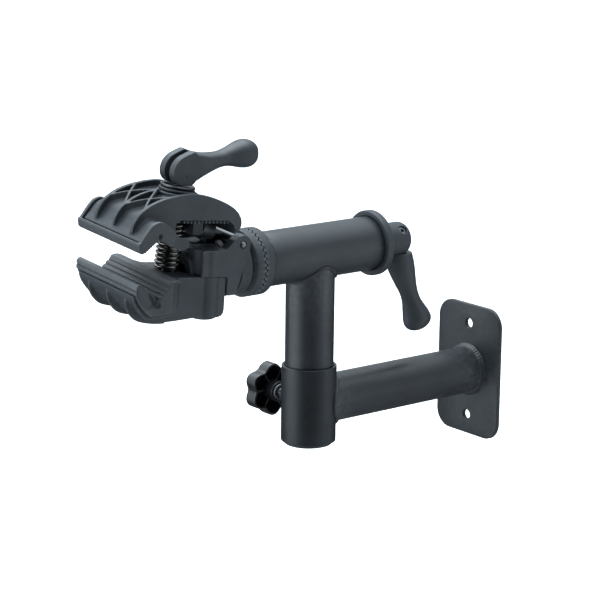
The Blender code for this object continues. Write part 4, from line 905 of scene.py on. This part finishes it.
holder = [(-423.0, 47.4)] + curve([(-417.6, 52.8), (-413.2, 57.8), (-409.4, 60.7), (-405.2, 61.8), (-400.4, 60.2),
                                   (-394.8, 55.4)], 4) + \
    [(-388.9, 50.0), (-388.9, 45.4)] + curve([(-397.0, 52.9), (-401.6, 56.6), (-405.0, 57.6), (-407.4, 56.8),
                                              (-410.6, 54.0), (-414.8, 49.4)], 4) + [(-421.4, 42.9)]
join(jaw, prism(holder, -PLATE_HALF, PLATE_HALF))
nose_top = [q for q in offset(ARCH[8:], 7.0) if q[0] < -385.5]
join(jaw, prism([(-419.0, 49.6)] + nose_top + [(-384.4, 70.5), (-384.4, 37.5), (-388.6, 40.5), (-388.6, 48.4),
                 (-396.0, 54.4), (-401.5, 58.4), (-405.2, 59.7), (-409.6, 58.2)], -JAW_HALF + 1, JAW_HALF - 1))


def rib_slab(p, q, thick, down=1.5, n=20):
    d = Vector((q[0] - p[0], q[1] - p[1])).normalized()
    side_ = Vector((-d.y, d.x)) * thick / 2
    secs = []
    for k in range(n + 1):
        c = Vector(p).lerp(Vector(q), k / n)
        hi, lo = arch_at(c.y, 0.4), arch_at(c.y, 6.0) - down
        secs.append([(c.x - side_.x, c.y - side_.y, lo), (c.x + side_.x, c.y + side_.y, lo),
                     (c.x + side_.x, c.y + side_.y, hi), (c.x - side_.x, c.y - side_.y, hi)])
    return loft(secs)


rear_wall = [(-307.6, 47.5), (-307.6, 44.2), (-309.2, 38.6), (-311.0, 35.8), (-312.6, 37.4), (-312.8, 44.0),
             (-313.8, 50.0), (-319.0, 54.5), (-316.0, 58.0), (-310.5, 53.5)]
join(jaw, prism(rounded(rear_wall, 1.0, 3), -JAW_HALF + 2, JAW_HALF - 2))
skirt = [(-312.0, 56.0), (-312.0, 37.0), (-316.0, 33.4), (-324.0, 31.4), (-334.0, 32.6), (-346.0, 34.8), (-360.0, 37.4),
         (-372.0, 39.6), (-376.0, 60.0), (-376.0, 70.0), (-345.0, 70.0), (-325.0, 62.0)]
join(jaw, prism(skirt, -15.6, -13.4))
comb, y = [(-366.4, 62.0)], -366.4
while y < -318.5:
    edge = 56.0 - (y + 370.0) * 0.1145
    comb += [(y, edge - 0.6), (y + 0.3, edge - 3.7), (y + 1.9, edge - 3.9), (y + 2.2, edge - 0.7)]
    y += 3.9
comb += [(-318.0, 56.0), (-330.0, 62.0)]
for a_, b_ in ((13.0, 25.2), (-25.2, -13.0)):
    join(jaw, prism(comb, a_, b_))
head_line = ARCH[:25]
rib = head_line + [(-375.5, 78.4), (-375.5, 70.0)] + \
    [(y, z - 1.5) for y, z in reversed(offset(ARCH[8:25], 6.0))] + [(-418.5, 49.4)]
join(jaw, prism(rib, -1.5, 1.5))
for s in (1, -1):
    join(jaw, rib_slab((s * 1.0, -409.5), (s * 26.8, -381.0), 2.2))
    join(jaw, rib_slab((s * 26.8, -409.0), (s * 1.0, -378.5), 2.2))
join(jaw, moved(rod(18.0, -8.6, 0, "Z", seg=96, chamfer=0.9), SEAT))
join(jaw, block(-11, 11, -345.0, -334.5, 35.5, 66.5))
cut(jaw, moved(block(-5.2, 5.2, -9.2, 9.2, -16, 12), SEAT), moved(rod(4.85, 20, 60, "Y", seg=32), LINK))
piece(mould(jaw, 0.68, 3), "moving_jaw", MOULDED, "upper", ["upper_jaw"], HEAD, 0)

upper = rounded([(-420.6, 37.4), (-423.2, 37.6), (-425.6, 40.0), (-426.3, 45.2), (-425.2, 48.4)],
                [0.5, 1.0, 1.4, 1.6, 1.0], 3) + \
    curve([(-418.7, 54.6), (-414.3, 59.6), (-410.2, 62.4), (-405.2, 63.3), (-399.6, 61.4), (-393.8, 56.6)], 4) + \
    [(-389.6, 52.4), (-389.4, 51.6), (-389.4, 44.6), (-389.8, 43.2), (-390.6, 41.8), (-391.6, 41.2), (-392.8, 41.0)] + \
    list(reversed(grooved((-400.4, 46.4), (-393.4, 41.5), 2.6, -0.5))) + \
    [(-402.7, 46.7), (-402.8, 52.5), (-406.0, 52.5), (-406.1, 46.7)] + \
    list(reversed(grooved((-419.9, 38.0), (-408.2, 46.3), 2.6, -0.5)))
pad = prism(upper, -PAD_HALF, PAD_HALF)
recess = [(-424.5, 46.4), (-421.5, 42.5), (-414.6, 49.0), (-410.4, 53.6), (-407.3, 56.4), (-405.0, 57.2),
          (-401.7, 56.2), (-397.2, 52.5), (-391.6, 47.5), (-388.0, 44.2), (-388.0, 80), (-424.5, 80)]
cut(pad, prism(recess, -PLATE_HALF - 1.1, PLATE_HALF + 1.1))
piece(mould(pad, 0.5, 2), "moving_jaw_pad", RUBBER, "upper", ["upper_pad"], HEAD, 0)

eye = rod(7.6, -18.7, 18.7, "X", (0, PIN_Y, PIN_Z), 72, chamfer=0.8)
join(eye, moved(rod(4.4, 0, 16.5, "Y", seg=48), LINK))
cut(eye, rod(3.3, -40, 40, "X", (0, PIN_Y, PIN_Z), 40))
piece(eye, "jaw_eye_link", OXIDE, "upper", ["jaw_link"], HEAD)
shank = moved(threaded(4.4, 16.4, 46.5, 1.25, 0.55), Matrix.Rotation(math.radians(-90), 4, "X"))
piece(moved(shank, LINK), "jaw_link_thread", OXIDE, "upper", [], HEAD, 50)
lnut = moved(turned(rounded([(4.7, 15.5), (7.2, 15.5), (7.2, 30.2), (4.7, 30.2)], [0.3, 1.0, 1.0, 0.3], 4), "Y", seg=72),
             LINK)
piece(lnut, "jaw_link_nut", GREY, "upper", ["link_nut"], HEAD)
for label, node, a, b, r, mat, slot_ in (("cam_seat_ring", "seat_washer", 0.3, 3.2, 16.0, MOULDED, "moulded_plastic"),
                                         ("cam_face_ring", "cam_washer", 3.5, 6.4, 15.4, OXIDE, "black_oxide_steel")):
    w = moved(turned(rounded([(5.6, a), (r, a), (r, b), (5.6, b)], [0.3, 1.3, 1.3, 0.4], 6), "Z", seg=128), SEAT)
    piece(w, label, mat, "upper", [node], HEAD)

# ================================================================ stage, light and camera
A, E, ROLL = math.radians(51.273), math.radians(13.316), math.radians(0.726)
back = Vector((math.sin(A) * math.cos(E), -math.cos(A) * math.cos(E), math.sin(E)))
right = Vector((math.cos(A), math.sin(A), 0))
up = back.cross(right)
R = right * math.cos(ROLL) + up * math.sin(ROLL)
U = up * math.cos(ROLL) - right * math.sin(ROLL)
cam_data = bpy.data.cameras.new("camera")
cam_data.sensor_width, cam_data.lens = 36.0, 134.346
cam_data.clip_start, cam_data.clip_end = 0.1, 30.0
camera = bpy.data.objects.new("camera", cam_data)
bpy.context.scene.collection.objects.link(camera)
m = Matrix((R, U, back)).transposed().to_4x4()
m.translation = Vector((1.545574, -1.454146, 0.567003))
camera.matrix_world = m
bpy.context.scene.camera = camera

bm = bmesh.new()
ring = [bm.verts.new((14 * math.cos(t), 14 * math.sin(t), -0.32)) for t in (2 * math.pi * k / 96 for k in range(96))]
bm.faces.new(ring)
floor = to_object(bm, "floor")
if floor.data.polygons[0].normal.z < 0:
    floor.data.flip_normals()
fm = bpy.data.materials.new("pale_floor")
fm.use_nodes = True
fb = fm.node_tree.nodes["Principled BSDF"]
fb.inputs["Base Color"].default_value = (0.86, 0.86, 0.86, 1)
fb.inputs["Roughness"].default_value = 0.9
fb.inputs["Specular IOR Level"].default_value = 0.1
fb.inputs["Emission Color"].default_value = (1, 1, 1, 1)
fb.inputs["Emission Strength"].default_value = 0.42
floor.data.materials.append(fm)
floor.visible_glossy = False

# a pale backdrop that closes the view behind the floor's edge without adding light of its own
bm = bmesh.new()
rings = [[bm.verts.new((13.9 * math.cos(e) * math.cos(t), 13.9 * math.cos(e) * math.sin(t), -0.33 + 13.9 * math.sin(e)))
          for t in (2 * math.pi * k / 96 for k in range(96))] for e in (math.radians(d) for d in range(0, 88, 6))]
for a, b in zip(rings, rings[1:]):
    for k in range(96):
        bm.faces.new((a[k], b[k], b[(k + 1) % 96], a[(k + 1) % 96]))
bm.faces.new(rings[-1])
backdrop = to_object(bm, "backdrop")
backdrop.data.shade_smooth()
dm = bpy.data.materials.new("pale_backdrop")
dm.use_nodes = True
db = dm.node_tree.nodes["Principled BSDF"]
db.inputs["Base Color"].default_value = (0.86, 0.86, 0.86, 1)
db.inputs["Roughness"].default_value = 0.9
db.inputs["Specular IOR Level"].default_value = 0.1
db.inputs["Emission Color"].default_value = (1, 1, 1, 1)
db.inputs["Emission Strength"].default_value = 1.0
backdrop.data.materials.append(dm)
backdrop.visible_diffuse = backdrop.visible_glossy = backdrop.visible_shadow = backdrop.visible_transmission = False

world = bpy.data.worlds.new("studio")
bpy.context.scene.world = world
world.use_nodes = True
nt = world.node_tree
bgn = nt.nodes["Background"]
direction = nt.nodes.new("ShaderNodeTexCoord").outputs["Generated"]


def lobe(axis_, lo, hi, strength):
    """A soft patch of sky round a fixed direction."""
    dot = nt.nodes.new("ShaderNodeVectorMath")
    dot.operation = "DOT_PRODUCT"
    dot.inputs[1].default_value = Vector(axis_).normalized()
    nt.links.new(direction, dot.inputs[0])
    r = nt.nodes.new("ShaderNodeMapRange")
    r.interpolation_type = "SMOOTHSTEP"
    r.inputs["From Min"].default_value, r.inputs["From Max"].default_value = lo, hi
    r.inputs["To Min"].default_value, r.inputs["To Max"].default_value = 0.0, strength
    nt.links.new(dot.outputs["Value"], r.inputs["Value"])
    return r.outputs["Result"]


def maths(op, a_, b_):
    n_ = nt.nodes.new("ShaderNodeMath")
    n_.operation = op
    for i_, v_ in enumerate((a_, b_)):
        if isinstance(v_, (int, float)):
            n_.inputs[i_].default_value = v_
        else:
            nt.links.new(v_, n_.inputs[i_])
    return n_.outputs[0]


left = -right
rim = lobe((0, 0, 1), -0.14, 0.16, 1.0)
sides = maths("ADD", lobe(left * 0.93 + back * 0.32, 0.64, 0.985, 2.25),
              lobe(right * 0.93 + back * 0.25 - Vector((0, 0, 0.22)), 0.52, 0.96, 0.56))
total = maths("ADD", sides, maths("MULTIPLY", lobe(-back, 0.4, 0.92, 0.76), rim))
total = maths("ADD", total, lobe((0, 0, 1), 0.36, 0.9, 2.55))
total = maths("ADD", total, lobe((0, 0, -1), 0.3, 0.9, 0.18))
total = maths("ADD", total, lobe((-0.76, -0.22, 0.60), 0.78, 0.98, 1.6))
total = maths("ADD", total, 0.05)
dark = maths("SUBTRACT", 1.0, lobe(back, 0.45, 0.92, 0.94))
total = maths("MULTIPLY", total, dark)
nt.links.new(total, bgn.inputs["Strength"])
bgn.inputs["Color"].default_value = (0.84, 0.935, 1.0, 1)


def area(name, place, aim, size, power, colour=(1, 1, 1)):
    d = bpy.data.lights.new(name, "AREA")
    d.shape, d.size, d.size_y, d.energy, d.color = "RECTANGLE", size[0], size[1], power, colour
    o = bpy.data.objects.new(name, d)
    bpy.context.scene.collection.objects.link(o)
    o.location = place
    o.rotation_euler = (Vector(aim) - Vector(place)).to_track_quat("-Z", "Y").to_euler()
    return o


area("top_box", (-0.35, -0.15, 1.35), (0, -0.22, 0.1), (0.9, 1.3), 16, (0.88, 0.955, 1.0))
area("left_box", (-0.55, -1.64, 0.45), (0, -0.25, 0.08), (0.35, 1.1), 3, (0.88, 0.955, 1.0))
area("right_box", (0.55, 0.25, 0.10), (0, -0.09, 0.09), (0.3, 0.6), 0.4, (0.90, 0.96, 1.0))
bpy.context.scene.view_settings.view_transform = "Standard"
bpy.context.scene.view_settings.look = "None"

bpy.context.view_layer.update()
